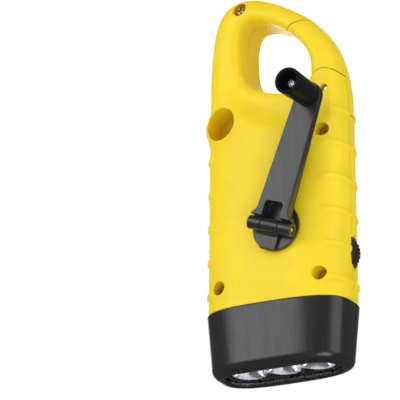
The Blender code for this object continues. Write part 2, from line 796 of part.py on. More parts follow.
def gate_inner_line(clear):
    """The gate's edge at the hole, from its foot to its nose."""
    hole = curve_through(shares_to_points(LOOP_HOLE_SHARES), LOOP_STEPS)
    edge = pushed(hole, clear + RUN_OVER / 2)
    reach = GATE_REACH + clear
    line = []
    for (x, z), (next_x, next_z) in zip(edge[:-1], edge[1:]):
        away = hypot(x - GATE_PIVOT_X, z - GATE_PIVOT_Z)
        further = hypot(next_x - GATE_PIVOT_X, next_z - GATE_PIVOT_Z)
        if GATE_ROOT_RADIUS < away < reach:
            line.append((x, z))
        if away < reach <= further:
            share = (reach - away) / (further - away)
            line.append((x + (next_x - x) * share, z + (next_z - z) * share))
            break
    return line


def closed_above(inner, clear, foot_only):
    """The outer end of a gate zone, at the nose's arc or cut short above the foot."""
    beyond = -HALF_WIDTH * 1.2
    if foot_only:
        return [(beyond, inner[-1][1])]
    start = atan2(inner[-1][1] - GATE_PIVOT_Z, inner[-1][0] - GATE_PIVOT_X)
    nose = around(GATE_PIVOT_X, GATE_PIVOT_Z, GATE_REACH + clear, start, radians(105), 14)
    return nose[1:] + [(beyond, nose[-1][1])]


def gate_zone(clear, foot_only=False):
    """The gate's room seen from the front, with its round foot about the pivot."""
    inner = gate_inner_line(clear)[:4 if foot_only else None]
    beyond = -HALF_WIDTH * 1.2
    foot = GATE_TAIL_SLOPE - pi / 2
    hub = around(GATE_PIVOT_X, GATE_PIVOT_Z, GATE_HUB_RADIUS + clear, foot, radians(25), 10)
    tail = hub[0][1] - (hub[0][0] - beyond) * sin(GATE_TAIL_SLOPE) / cos(GATE_TAIL_SLOPE)
    return hub + inner + closed_above(inner, clear, foot_only) + [(beyond, tail)]


def tab_zone(clear):
    """The room under the gate on the back, where the rear shell's round tab holds the pin."""
    radius = GATE_TAB_RADIUS + clear
    arc = around(GATE_PIVOT_X, GATE_PIVOT_Z, radius, radians(140), radians(50), 14)
    inner = gate_inner_line(0)[0]
    beyond = -HALF_WIDTH * 1.2
    low = HOLE_FLOOR_SHARES[0][1] * BODY_HEIGHT - GATE_REACH
    return [(beyond, arc[0][1])] + arc + [inner, (inner[0], low), (beyond, low)]


def gate_back_zone(clear, foot_only=False):
    """The gate's room on the back, above the round tab."""
    inner = gate_inner_line(clear)[:4 if foot_only else None]
    arc = around(GATE_PIVOT_X, GATE_PIVOT_Z, GATE_TAB_RADIUS + GAP - clear,
                 radians(140), radians(50), 14)
    beyond = -HALF_WIDTH * 1.2
    return inner + closed_above(inner, clear, foot_only) + [(beyond, arc[0][1])] + arc


def swung(outline, angle):
    """An outline turned about the gate's pivot, towards the hole."""
    made = []
    for x, z in outline:
        x, z = x - GATE_PIVOT_X, z - GATE_PIVOT_Z
        made.append((GATE_PIVOT_X + x * cos(angle) + z * sin(angle),
                     GATE_PIVOT_Z - x * sin(angle) + z * cos(angle)))
    return made


def cut_gate_room(shell, zone, y_low, y_high):
    """Clears the room that the gate and its foot sweep through as it opens."""
    for i in range(5):
        outline = zone(GAP * (1 - 0.1 * i), i > 0)
        cut(shell, prism(shell.name + "_gate_room", swung(outline, GATE_SWING * i / 4),
                         y_low, y_high, parent=ROOT))


def dish_outline():
    """The front hollow round the hole, bounded by a crisp curved step."""
    line = curve_through(shares_to_points(DISH_SHARES), 4)
    beyond = HALF_WIDTH * 1.3
    top = BODY_HEIGHT * 1.1
    return [tuple(point) for point in line] + [(-beyond, top), (-beyond, line[0][1])]


def screw_body(name, x, z, y_seat, y_tip, shank, head, head_height, group=None):
    """A pan-head screw along Y, its head towards +Y."""
    rise = head_height
    profile = [(0, y_seat + rise), (head * 0.7, y_seat + rise * 0.95), (head, y_seat + rise * 0.5),
               (head, y_seat), (shank, y_seat), (shank, y_tip + shank), (0, y_tip)]
    item = turned(name, profile, 20, (x, 0, z), "Y", group or PARTS, ROOT)
    size = head * 0.55
    for i, wide in enumerate((size, size * 0.28)):
        tall = size * 0.28 if i == 0 else size
        slot = block(name + "_slot", (x - wide, y_seat + rise * 0.45, z - tall),
                     (x + wide, y_seat + rise * 2, z + tall), parent=ROOT)
        cut(item, slot)
    return item


def make_head():
    """The black head: a cup with the lens window in its floor and a spigot for the shells."""
    half_x, half_y = HALF_WIDTH + HEAD_PROUD, BODY_HALF_DEPTH + HEAD_PROUD
    rings = []
    for i in range(5):
        angle = pi / 2 * i / 4
        inset = HEAD_TAPER + HEAD_BOTTOM_RADIUS * (1 - sin(angle))
        z = HEAD_BOTTOM_RADIUS * (1 - cos(angle))
        rings.append(cross_ring(half_x - inset, half_y - inset, z))
    rings.append(cross_ring(half_x, half_y, HEAD_HEIGHT))
    inner = SHELL_WALL + GAP
    rings.append(cross_ring(HALF_WIDTH - inner, BODY_HALF_DEPTH - inner, HEAD_HEIGHT))
    rings.append(cross_ring(HALF_WIDTH - inner, BODY_HALF_DEPTH - inner,
                            HEAD_HEIGHT + SPIGOT_HEIGHT))
    head = lofted("head_bezel", rings, PARTS, ROOT)
    wall = SHELL_WALL + GAP + SPIGOT_WALL
    low_x, low_y = half_x - HEAD_TAPER - HEAD_WALL, half_y - HEAD_TAPER - HEAD_WALL
    room = [cross_ring(low_x, low_y, HEAD_FLOOR),
            cross_ring(HALF_WIDTH - wall, BODY_HALF_DEPTH - wall,
                       HEAD_HEIGHT + SPIGOT_HEIGHT + RUN_OVER)]
    seat = 2 * (LENS_MARGIN + GAP)
    window = slab("lens_hole", stadium(WINDOW_LENGTH, WINDOW_WIDTH), -RUN_OVER,
                  HEAD_FLOOR + RUN_OVER, parent=ROOT)
    rebate = slab("lens_seat", stadium(WINDOW_LENGTH + seat, WINDOW_WIDTH + seat), HEAD_LIP,
                  HEAD_FLOOR + RUN_OVER, parent=ROOT)
    cut(head, lofted("head_room", room, parent=ROOT), rebate, window)
    return paint(head, "head_plastic", CHARCOAL, 0.42)


def make_lamp():
    """Lens, three-cup reflector, three LEDs and their board, stacked in the head."""
    margin = 2 * LENS_MARGIN
    z = HEAD_LIP + GAP
    lens = slab("lens", stadium(WINDOW_LENGTH + margin, WINDOW_WIDTH + margin), z,
                z + LENS_THICKNESS, PARTS, ROOT)
    paint(lens, "lens_clear", CLEAR, 0.05, 0, 0.9)
    z += LENS_THICKNESS + GAP
    top = z + REFLECTOR_HEIGHT
    reflector = slab("reflector", stadium(WINDOW_LENGTH + margin, WINDOW_WIDTH + margin), z, top,
                     PARTS, ROOT)
    seats = (-CUP_PITCH, 0, CUP_PITCH)
    for i, x in enumerate(seats):
        cup = [(CUP_THROAT, top + RUN_OVER), (CUP_THROAT, top - LED_RADIUS),
               (CUP_RADIUS * 0.62, top - REFLECTOR_HEIGHT * 0.42),
               (CUP_RADIUS * 0.87, top - REFLECTOR_HEIGHT * 0.70), (CUP_RADIUS, z - RUN_OVER)]
        rings = [[(x + px, py, height) for px, py in ring_points(radius, 24)]
                 for radius, height in cup]
        cut(reflector, lofted("cup", rings, parent=ROOT))
        low = top - LED_HEIGHT
        bulb = [(0, top), (LED_RADIUS, top), (LED_RADIUS, low + LED_RADIUS),
                (LED_RADIUS * 0.7, low + LED_RADIUS * 0.3), (0, low)]
        paint(turned("led_%d" % (i + 1), bulb, 16, (x, 0, 0), "Z", PARTS, ROOT),
              "led_clear", CLEAR, 0.1, 0, 0.5)
    paint(reflector, "reflector_chrome", CHROME, 0.08, 1)
    board = slab("led_board", stadium(WINDOW_LENGTH, WINDOW_WIDTH), top + GAP,
                 top + GAP + BOARD_THICKNESS, PARTS, ROOT)
    paint(board, "board_green", BOARD_GREEN, 0.5)


def gear_outline(x, z, teeth, tooth_angle):
    """The outline of a spur gear with involute flanks; a tooth lies at the given angle."""
    pitch = GEAR_MODULE * teeth / 2
    base = pitch * cos(GEAR_PRESSURE_ANGLE)
    tip = pitch + GEAR_MODULE * GEAR_ADDENDUM_SHARE
    root = pitch - GEAR_MODULE * GEAR_DEDENDUM_SHARE
    opening = sin(GEAR_PRESSURE_ANGLE) / cos(GEAR_PRESSURE_ANGLE) - GEAR_PRESSURE_ANGLE
    half_pitch = pi / (2 * teeth) * (1 - GEAR_BACKLASH_SHARE) + opening
    low = max(base, root)
    flank = []
    for radius in (root, low + (tip - low) * 0.5, tip):
        rolled = sqrt(max(radius ** 2 - base ** 2, 0)) / base
        away = half_pitch - (rolled - atan2(rolled, 1))
        flank.append((radius, away))
    points = []
    for i in range(teeth):
        centre = tooth_angle + 2 * pi * i / teeth
        for radius, away in flank:
            points.append((x + radius * cos(centre - away), z + radius * sin(centre - away)))
        for radius, away in flank[::-1]:
            points.append((x + radius * cos(centre + away), z + radius * sin(centre + away)))
    return points


def meshing_angle(teeth, tooth_angle, mate_teeth, direction):
    """Angle of a tooth on the gear lying in the given direction, meshed with the first."""
    return direction + pi + (pi - (tooth_angle - direction) * teeth) / mate_teeth


def next_axis(x, z, direction, teeth, mate_teeth):
    apart = GEAR_MODULE * (teeth + mate_teeth) / 2
    return x + apart * cos(direction), z + apart * sin(direction)


def compound_gear(name, x, z, pinion_angle, wheel_angle, level):
    """A small pinion and the big gear below it, moulded as one piece."""
    high = GEAR_TOP_Y - GEAR_LEVEL_STEP * level
    low = high - GEAR_LEVEL_STEP
    place = (x, (high + low) / 2, z)
    gear = prism(name, gear_outline(x, z, WHEEL_GEAR_TEETH, wheel_angle),
                 low - GEAR_THICKNESS, low, PARTS, ROOT, place)
    pinion = prism(name + "_pinion", gear_outline(x, z, PINION_TEETH, pinion_angle),
                   low - GEAR_THICKNESS / 2, high, parent=ROOT)
    join(gear, pinion)
    cut(gear, disc_y(name + "_bore", x, z, AXLE_RADIUS + GAP, low - GEAR_LEVEL_STEP,
                     high + RUN_OVER, 16, parent=ROOT))
    return paint(gear, "gear_nylon", NYLON, 0.45, smooth=False)


def make_gears():
    """The step-up train from the crank to the generator, on a plate under the rear shell."""
    gear = prism("crank_gear", gear_outline(CRANK_X, CRANK_Z, CRANK_TEETH, 0),
                 GEAR_TOP_Y - GEAR_THICKNESS, GEAR_TOP_Y, PARTS, ROOT,
                 (CRANK_X, GEAR_TOP_Y, CRANK_Z))
    cut(gear, disc_y("crank_gear_bore", CRANK_X, CRANK_Z, SHAFT_RADIUS + GAP,
                     GEAR_TOP_Y - GEAR_LEVEL_STEP, GEAR_TOP_Y + RUN_OVER, 20, parent=ROOT))
    paint(gear, "gear_nylon", NYLON, 0.45, smooth=False)
    first = FIRST_GEAR_PLACE
    first_pinion = meshing_angle(CRANK_TEETH, 0, PINION_TEETH, FIRST_GEAR_ANGLE)
    compound_gear("compound_gear_1", *first, first_pinion, 0, 0)
    second = SECOND_GEAR_PLACE
    second_pinion = meshing_angle(WHEEL_GEAR_TEETH, 0, PINION_TEETH, SECOND_GEAR_ANGLE)
    compound_gear("compound_gear_2", *second, second_pinion, 0, 1)
    for i, (x, z) in enumerate((first, second)):
        level = GEAR_TOP_Y - GEAR_LEVEL_STEP * i
        low = PLATE_TOP_Y - PLATE_THICKNESS - GAP
        profile = [(0, level), (AXLE_RADIUS, level), (AXLE_RADIUS, low), (AXLE_HEAD_RADIUS, low),
                   (AXLE_HEAD_RADIUS, low - AXLE_HEAD), (0, low - AXLE_HEAD)]
        axle = turned("gear_axle_%d" % (i + 1), profile, 16, (x, 0, z), "Y", PARTS, ROOT)
        paint(axle, "steel", STEEL, 0.3, 1)
    make_plate((first, second))
    make_generator(meshing_angle(WHEEL_GEAR_TEETH, 0, PINION_TEETH, ROTOR_ANGLE))


def make_plate(axles):
    """The plate that carries the axles and the generator, screwed to the rear shell."""
    low = PLATE_TOP_Y - PLATE_THICKNESS
    plate = block("gear_plate", (-PLATE_HALF_WIDTH, low, LOW_SCREW_Z + PLATE_TO_SCREW),
                  (PLATE_HALF_WIDTH, PLATE_TOP_Y, PLATE_TOP_Z), PARTS, ROOT)
    for x, z in axles:
        cut(plate, disc_y("axle_hole", x, z, AXLE_RADIUS + GAP, low - RUN_OVER,
                          PLATE_TOP_Y + RUN_OVER, 16, parent=ROOT))
    cut(plate, disc_y("rotor_hole", *ROTOR_PLACE, ROTOR_SHAFT_RADIUS + GAP, low - RUN_OVER,
                      PLATE_TOP_Y + RUN_OVER, 16, parent=ROOT))
    for i, (x, z) in enumerate(PLATE_POSTS.values()):
        cut(plate, disc_y("post_hole", x, z, PLATE_SCREW_RADIUS + GAP, low - RUN_OVER,
                          PLATE_TOP_Y + RUN_OVER, 16, parent=ROOT))
        tip = PLATE_TOP_Y + PLATE_SCREW_LENGTH - PLATE_THICKNESS
        head = low - GAP
        profile = [(0, tip), (PLATE_SCREW_RADIUS, tip - PLATE_SCREW_RADIUS),
                   (PLATE_SCREW_RADIUS, head), (PLATE_SCREW_HEAD_RADIUS, head),
                   (PLATE_SCREW_HEAD_RADIUS * 0.8, head - PLATE_SCREW_HEAD),
                   (0, head - PLATE_SCREW_HEAD)]
        screw = turned("plate_screw_%d" % (i + 1), profile, 16, (x, 0, z), "Y", PARTS, ROOT)
        paint(screw, "steel", STEEL, 0.3, 1)
    paint(plate, "gearbox_plastic", BLACK, 0.5, smooth=False)


def make_generator(pinion_angle):
    """The case, the coil in it and the rotor with the last pinion on its shaft."""
    x, z = ROTOR_PLACE
    top = PLATE_TOP_Y - PLATE_THICKNESS - GAP
    bottom = MAIN_BOARD_Y + GAP
    case = disc_y("generator_case", x, z, GENERATOR_RADIUS, bottom, top, 32, PARTS, ROOT)
    room = GENERATOR_RADIUS - GENERATOR_WALL
    cut(case, disc_y("case_room", x, z, room, bottom + GENERATOR_WALL, top + RUN_OVER, 32,
                     parent=ROOT))
    paint(case, "steel_case", STEEL, 0.35, 1)
    low = bottom + GENERATOR_WALL + GAP
    high = low + ROTOR_LENGTH
    coil_radius = room - GAP
    coil = disc_y("generator_coil", x, z, coil_radius, low, high, 32, PARTS, ROOT)
    cut(coil, disc_y("coil_room", x, z, coil_radius - COIL_THICKNESS, low - RUN_OVER,
                     high + RUN_OVER, 32, parent=ROOT))
    paint(coil, "copper", COPPER, 0.4, 1)
    magnet = min(ROTOR_RADIUS, coil_radius - COIL_THICKNESS - GAP)
    pinion_top = GEAR_TOP_Y - 2 * GEAR_LEVEL_STEP
    rotor = disc_y("generator_rotor", x, z, magnet, low, high, 28, PARTS, ROOT, (x, low, z))
    shaft = disc_y("rotor_shaft", x, z, ROTOR_SHAFT_RADIUS, high - ROTOR_LENGTH / 2,
                   pinion_top - GEAR_THICKNESS / 2, 12, parent=ROOT)
    pinion = prism("rotor_pinion", gear_outline(x, z, PINION_TEETH, pinion_angle),
                   pinion_top - GEAR_THICKNESS, pinion_top, parent=ROOT)
    join(rotor, shaft, pinion)
    paint(rotor, "steel", STEEL, 0.3, 1)


def make_boards():
    """The main board on the solar panel's seat and the round cell clipped to it."""
    low = MAIN_BOARD_Y - BOARD_THICKNESS
    board = block("main_board", (-MAIN_BOARD_HALF_WIDTH, low, MAIN_BOARD_BOTTOM_Z),
                  (MAIN_BOARD_HALF_WIDTH, MAIN_BOARD_Y, MAIN_BOARD_TOP_Z), PARTS, ROOT)
    paint(board, "board_green", BOARD_GREEN, 0.5, smooth=False)
    battery = disc_y("battery", 0, BATTERY_Z, BATTERY_RADIUS, MAIN_BOARD_Y + GAP,
                     MAIN_BOARD_Y + GAP + BATTERY_THICKNESS, 32, PARTS, ROOT)
    paint(battery, "battery_sleeve", BATTERY_BLUE, 0.4)


def bezel_ring(y, inset):
    return panel_ring(y, inset, BEZEL_HALF_WIDTH, BEZEL_BOTTOM_Z, BEZEL_TOP_Z, BEZEL_CORNER,
                      BEZEL_ARCH)


def cell_ring(y, inset):
    return panel_ring(y, inset, CELL_HALF_WIDTH, CELL_BOTTOM_Z, CELL_TOP_Z, CELL_CORNER, 0)


def make_solar_panel():
    """The bezel in its seat, with the cell and its clear cover behind the opening."""
    back = -(BEZEL_SEAT + GAP)
    bezel = lofted("solar_bezel", [bezel_ring(back, 0), bezel_ring(BEZEL_BEVEL - BEZEL_FRONT, 0),
                                   bezel_ring(-BEZEL_FRONT, BEZEL_BEVEL)], PARTS, ROOT)
    opening = lofted("cell_opening", [cell_ring(back + RUN_OVER, 0),
                                      cell_ring(-BEZEL_FRONT - RUN_OVER, 0)], parent=ROOT)
    lip = BEZEL_LIP - BEZEL_FRONT
    pocket = lofted("cell_pocket", [cell_ring(back + RUN_OVER, -CELL_MARGIN - GAP),
                                    cell_ring(lip, -CELL_MARGIN - GAP)], parent=ROOT)
    cut(bezel, opening, pocket)
    paint(bezel, "bezel_plastic", CHARCOAL, 0.4)
    cover = lip + GAP
    window = lofted("solar_window", [cell_ring(cover, -CELL_MARGIN),
                                     cell_ring(cover + CELL_COVER, -CELL_MARGIN)], PARTS, ROOT)
    paint(window, "window_clear", CLEAR, 0.05, 0, 0.9)
    front = cover + CELL_COVER + GAP
    cell = lofted("solar_cell", [cell_ring(front, -CELL_MARGIN), cell_ring(back, -CELL_MARGIN)],
                  PARTS, ROOT)
    strip = (CELL_TOP_Z - CELL_BOTTOM_Z) / CELL_STRIPS
    for i in range(1, CELL_STRIPS):
        z = CELL_BOTTOM_Z + strip * i
        cut(cell, block("cell_line", (-CELL_HALF_WIDTH, front - CELL_LINE, z - CELL_LINE / 2),
                        (CELL_HALF_WIDTH, front + CELL_LINE / 2, z + CELL_LINE / 2),
                        parent=ROOT))
    paint(cell, "solar_cell_brown", CELL_BROWN, 0.3, smooth=False)


def make_switch():
    """The ribbed thumbwheel at the flank and the switch body that it turns in."""
    points = []
    for i in range(WHEEL_TEETH):
        angle = 2 * pi * i / WHEEL_TEETH
        for turn, radius in ((0, WHEEL_RADIUS), (0.3, WHEEL_RADIUS),
                             (0.55, WHEEL_RADIUS - WHEEL_TOOTH), (0.8, WHEEL_RADIUS - WHEEL_TOOTH)):
            at = angle + 2 * pi * turn / WHEEL_TEETH
            points.append((WHEEL_X + radius * cos(at), WHEEL_Z + radius * sin(at)))
    middle = WHEEL_FRONT_Y + WHEEL_THICKNESS / 2
    wheel = prism("switch_wheel", points, WHEEL_FRONT_Y, WHEEL_FRONT_Y + WHEEL_THICKNESS, PARTS,
                  ROOT, (WHEEL_X, middle, WHEEL_Z))
    join(wheel, disc_y("wheel_shaft", WHEEL_X, WHEEL_Z, WHEEL_SHAFT_RADIUS,
                       WHEEL_FRONT_Y - WHEEL_SHAFT, middle, 16, parent=ROOT))
    paint(wheel, "switch_plastic", BLACK, 0.45, smooth=False)
    top = WHEEL_FRONT_Y - GAP
    low_z, high_z = WHEEL_Z - SWITCH_HALF_HEIGHT, WHEEL_Z + SWITCH_HALF_HEIGHT
    high_x = WHEEL_X + SWITCH_IN
    body = block("switch_body", (WHEEL_X - SWITCH_OUT, top - SWITCH_THICKNESS, low_z),
                 (high_x, top, high_z), PARTS, ROOT)
    join(body, block("switch_foot", (WHEEL_X + SWITCH_FOOT_IN, MAIN_BOARD_Y + GAP, low_z),
                     (high_x, top, high_z), parent=ROOT))
    cut(body, disc_y("wheel_bore", WHEEL_X, WHEEL_Z, WHEEL_SHAFT_RADIUS + GAP,
                     top - WHEEL_SHAFT - GAP, top + RUN_OVER, 16, parent=ROOT))
    paint(body, "switch_body_plastic", CHARCOAL, 0.5, smooth=False)


def wheel_slots():
    """The room round the thumbwheel and the shallow leaf-shaped hollow for the thumb."""
    middle = WHEEL_FRONT_Y + WHEEL_THICKNESS / 2
    half = WHEEL_THICKNESS / 2 + GAP
    room = disc_y("wheel_room", WHEEL_X, WHEEL_Z, WHEEL_RADIUS + GAP, middle - half,
                  middle + half, 32, parent=ROOT)
    leaf = []
    for i in range(8):
        share = -1 + i / 4
        leaf.append((SLOT_HALF_WIDTH * (1 - share ** 2), SLOT_HALF_HEIGHT * share))
    for i in range(8):
        share = 1 - i / 4
        leaf.append((-SLOT_HALF_WIDTH * (1 - share ** 2), SLOT_HALF_HEIGHT * share))
    surface = flank_x(WHEEL_Z, -1, 0)
    rings = []
    for x, scale in ((surface + SLOT_DEPTH, 0.9), (surface - RIB_PROUD - RUN_OVER, 1.1)):
        rings.append([(x, middle + y * scale, WHEEL_Z + z * scale) for y, z in leaf])
    return room, lofted("thumb_hollow", rings, parent=ROOT)


def make_crank():
    """The hub that turns on the body, the folding arm hinged to it and the knob."""
    axis = empty("crank_axis", (CRANK_X, 0, CRANK_Z), CRANK_TILT, ROOT)
    hinge = empty("hinge_axis", (0, 0, -HINGE_OFFSET), 0, axis)
    disc_low = BODY_HALF_DEPTH + GAP
    disc_top = disc_low + HUB_DISC
    hub = disc_y("crank_hub", 0, 0, HUB_RADIUS, disc_low, disc_top, 48, PARTS, axis)
    half = KNUCKLE_CENTRE_WIDTH / 2
    inside = disc_top - HUB_DISC / 2
    join(hub,
         rod_x("centre_knuckle", -half, half, HINGE_Y, 0, KNUCKLE_RADIUS, 24, parent=hinge),
         block("knuckle_web", (-half, inside, -KNUCKLE_RADIUS), (half, HINGE_Y, KNUCKLE_RADIUS),
               parent=hinge),
         block("tongue", (-TONGUE_WIDTH / 2, inside, -TONGUE_LENGTH),
               (TONGUE_WIDTH / 2, HINGE_Y - TONGUE_DROP, 0), parent=axis),
         block("tongue_end", (-TONGUE_WIDTH / 2, inside, -HUB_RADIUS * 0.985),
               (TONGUE_WIDTH / 2, disc_top + TONGUE_LIP, 0), parent=axis),
         disc_y("journal", 0, 0, JOURNAL_RADIUS, GEAR_TOP_Y + GAP, inside, 24, parent=axis),
         disc_y("shaft", 0, 0, SHAFT_RADIUS, GEAR_TOP_Y - GEAR_THICKNESS,
                GEAR_TOP_Y + GEAR_THICKNESS, 20, parent=axis))
    cut(hub,
        rod_x("hub_pin_bore", -half - RUN_OVER, half + RUN_OVER, HINGE_Y, 0,
              HINGE_PIN_RADIUS + GAP, 16, parent=hinge),
        disc_y("shaft_bore", 0, 0, SHAFT_SCREW_RADIUS + GAP, GEAR_TOP_Y - GEAR_LEVEL_STEP,
               disc_low, 16, parent=axis))
    paint(hub, "crank_grey", ARM_GREY, 0.38, 0.1)
    seat = GEAR_TOP_Y - GEAR_THICKNESS - GAP
    profile = [(0, disc_low - RUN_OVER), (SHAFT_SCREW_RADIUS, disc_low - 2 * RUN_OVER),
               (SHAFT_SCREW_RADIUS, seat), (SHAFT_RADIUS + GAP, seat),
               (SHAFT_RADIUS + GAP, seat - RUN_OVER), (0, seat - RUN_OVER)]
    paint(turned("crank_gear_screw", profile, 16, (0, 0, 0), "Y", PARTS, axis),
          "steel", STEEL, 0.3, 1)
    make_arm(hinge)
    pin_half = BARREL_LENGTH / 2
    pin = rod_x("hinge_pin", -pin_half, pin_half, HINGE_Y, 0, HINGE_PIN_RADIUS, 16, PARTS, hinge)
    paint(pin, "steel", STEEL, 0.3, 1)
    make_knob(hinge)


def arm_outline():
    """The arm seen square on, from its flared root to its round tip."""
    root = ARM_ROOT_WIDTH / 2
    side = [(ARM_SHOULDER, ARM_START), (root + (ARM_SHOULDER - root) * 0.35, KNUCKLE_RADIUS * 1.5),
            (root, KNUCKLE_RADIUS * 2.1)]
    tip = [(ARM_TIP_RADIUS * cos(angle), ARM_LENGTH + ARM_TIP_RADIUS * sin(angle))
           for angle in [pi * i / 12 for i in range(13)]]
    return side + tip + [(-x, z) for x, z in side[::-1]]


def make_arm(axis):
    """The flat arm with its window and the two outer knuckles of the hinge."""
    low = HINGE_Y + ARM_RISE
    top = low + ARM_THICKNESS
    outline = arm_outline()
    under = [(x, low - ARM_ROOT_DROP * (1 - z / ARM_LENGTH), z) for x, z in outline]
    arm = lofted("crank_arm", [under, [(x, top, z) for x, z in outline]], PARTS, axis,
                 (0, HINGE_Y, 0))
    step = arm.modifiers.new("edge", "BEVEL")
    step.width = ARM_EDGE
    step.segments = 1
    step.limit_method = "ANGLE"
    step.angle_limit = radians(50)
    fork = KNUCKLE_CENTRE_WIDTH / 2 + GAP
    for side in (-1, 1):
        ends = sorted((side * (fork - RUN_OVER), side * BARREL_LENGTH / 2))
        web = sorted((side * (fork - RUN_OVER), side * (ARM_SHOULDER - ARM_EDGE)))
        join(arm,
             rod_x("outer_knuckle", *ends, HINGE_Y, 0, KNUCKLE_RADIUS, 24, parent=axis),
             block("arm_web", (web[0], low - ARM_ROOT_DROP * 0.8, ARM_START * 0.4),
                   (web[1], low + ARM_EDGE, ARM_START * 1.6), parent=axis))
    corner = ARM_WINDOW_END - fork / 3
    window = [(-fork, -KNUCKLE_RADIUS - RUN_OVER), (fork, -KNUCKLE_RADIUS - RUN_OVER),
              (fork, corner), (fork * 0.9, ARM_WINDOW_END - fork * 0.12),
              (fork * 0.65, ARM_WINDOW_END), (-fork * 0.65, ARM_WINDOW_END),
              (-fork * 0.9, ARM_WINDOW_END - fork * 0.12), (-fork, corner)]
    cut(arm, prism("arm_window", window, HINGE_Y - KNUCKLE_RADIUS - RUN_OVER,
                   low + ARM_THICKNESS + RUN_OVER, parent=axis))
    reach = BARREL_LENGTH / 2 + RUN_OVER
    cut(arm, rod_x("arm_pin_bore", -reach, reach, HINGE_Y, 0, HINGE_PIN_RADIUS + GAP, 16,
                   parent=axis))
    cut(arm, disc_y("knob_screw_bore", 0, ARM_LENGTH, KNOB_SCREW_RADIUS + GAP, low - RUN_OVER,
                    low + ARM_THICKNESS + RUN_OVER, 16, parent=axis))
    return paint(arm, "crank_grey", ARM_GREY, 0.38, 0.1)


def make_knob(axis):
    """The open-ended knob and the screw in its cup that it turns on."""
    base = KNOB_BASE_Y
    tip = base + KNOB_LENGTH
    floor = tip - KNOB_CUP_DEPTH
    cup = KNOB_RADIUS - KNOB_WALL
    bore = KNOB_SCREW_RADIUS + GAP
    edge = KNOB_WALL / 3
    profile = [(cup + edge, tip), (KNOB_RADIUS - edge, tip), (KNOB_RADIUS, tip - edge),
               (KNOB_RADIUS, base), (bore, base), (bore, floor), (cup, floor), (cup, tip - edge)]
    origin = (0, base, ARM_LENGTH)
    local = [(radius, height - base) for radius, height in profile]
    knob = turned("crank_knob", local, 32, origin, "Y", PARTS, axis)
    paint(knob, "knob_black", BLACK, 0.22)
    seat = floor + GAP
    head = KNOB_SCREW_HEAD_RADIUS
    rise = head * 0.75
    profile = [(0, seat + rise), (head * 0.7, seat + rise * 0.92), (head, seat + rise * 0.5),
               (head, seat), (KNOB_SCREW_RADIUS, seat),
               (KNOB_SCREW_RADIUS, HINGE_Y + ARM_RISE), (0, HINGE_Y + ARM_RISE)]
    screw = turned("knob_screw", profile, 20, (0, 0, ARM_LENGTH), "Y", PARTS, axis)
    for wide, tall in ((head * 0.6, head * 0.17), (head * 0.17, head * 0.6)):
        cut(screw, block("knob_screw_slot", (-wide, seat + rise * 0.5, ARM_LENGTH - tall),
                         (wide, seat + rise * 2, ARM_LENGTH + tall), parent=axis))
    paint(screw, "steel", STEEL, 0.3, 1)


def make_gate():
    """The spring gate of the loop, with the pin through its foot and the spring round it."""
    gate = whole_form("gate", Form(), HEAD_HEIGHT + GAP, PARTS, True)
    deep = 2 * BODY_HALF_DEPTH
    keep(gate, prism("gate_room", gate_zone(0), -deep, deep, parent=ROOT))
    cut(gate,
        prism("gate_tab_room", tab_zone(GAP), -GAP / 2, deep, parent=ROOT),
        prism("gate_dish", dish_outline(), -deep, -DISH_FRONT_DEPTH, parent=ROOT),
        disc_y("gate_pin_bore", GATE_PIVOT_X, GATE_PIVOT_Z, GATE_PIN_RADIUS + GAP, -deep, deep,
               16, parent=ROOT))
    coil = SPRING_COIL_RADIUS + SPRING_WIRE_RADIUS
    pocket_low = -(SPRING_TURNS * SPRING_PITCH + 4 * SPRING_WIRE_RADIUS + GAP)
    cut(gate, disc_y("spring_pocket", GATE_PIVOT_X, GATE_PIVOT_Z, coil + GAP, pocket_low,
                     RUN_OVER, 24, parent=ROOT))
    start, end = SPRING_LEG_ANGLE - SPRING_SLOT_BEFORE, SPRING_LEG_ANGLE + SPRING_SLOT_AFTER
    reach = SPRING_COIL_RADIUS + SPRING_LEG + GAP
    slot = [(GATE_PIVOT_X, GATE_PIVOT_Z)] + around(GATE_PIVOT_X, GATE_PIVOT_Z, reach, start, end, 6)
    cut(gate, prism("spring_slot", slot, pocket_low, RUN_OVER, parent=ROOT))
    paint(gate, "body_yellow", YELLOW, 0.35)
    gate_origin(gate)
    pin = disc_y("gate_pin", GATE_PIVOT_X, GATE_PIVOT_Z, GATE_PIN_RADIUS, -GATE_PIN_LENGTH / 2,
                 GATE_PIN_LENGTH / 2, 20, PARTS, ROOT)
    paint(pin, "steel", STEEL, 0.3, 1)
    make_spring()


def gate_origin(gate):
    """Moves the gate's origin onto its pivot."""
    place = Vector((GATE_PIVOT_X, 0, GATE_PIVOT_Z))
    gate.data.transform(Matrix.Translation(-place))
    gate.location = place


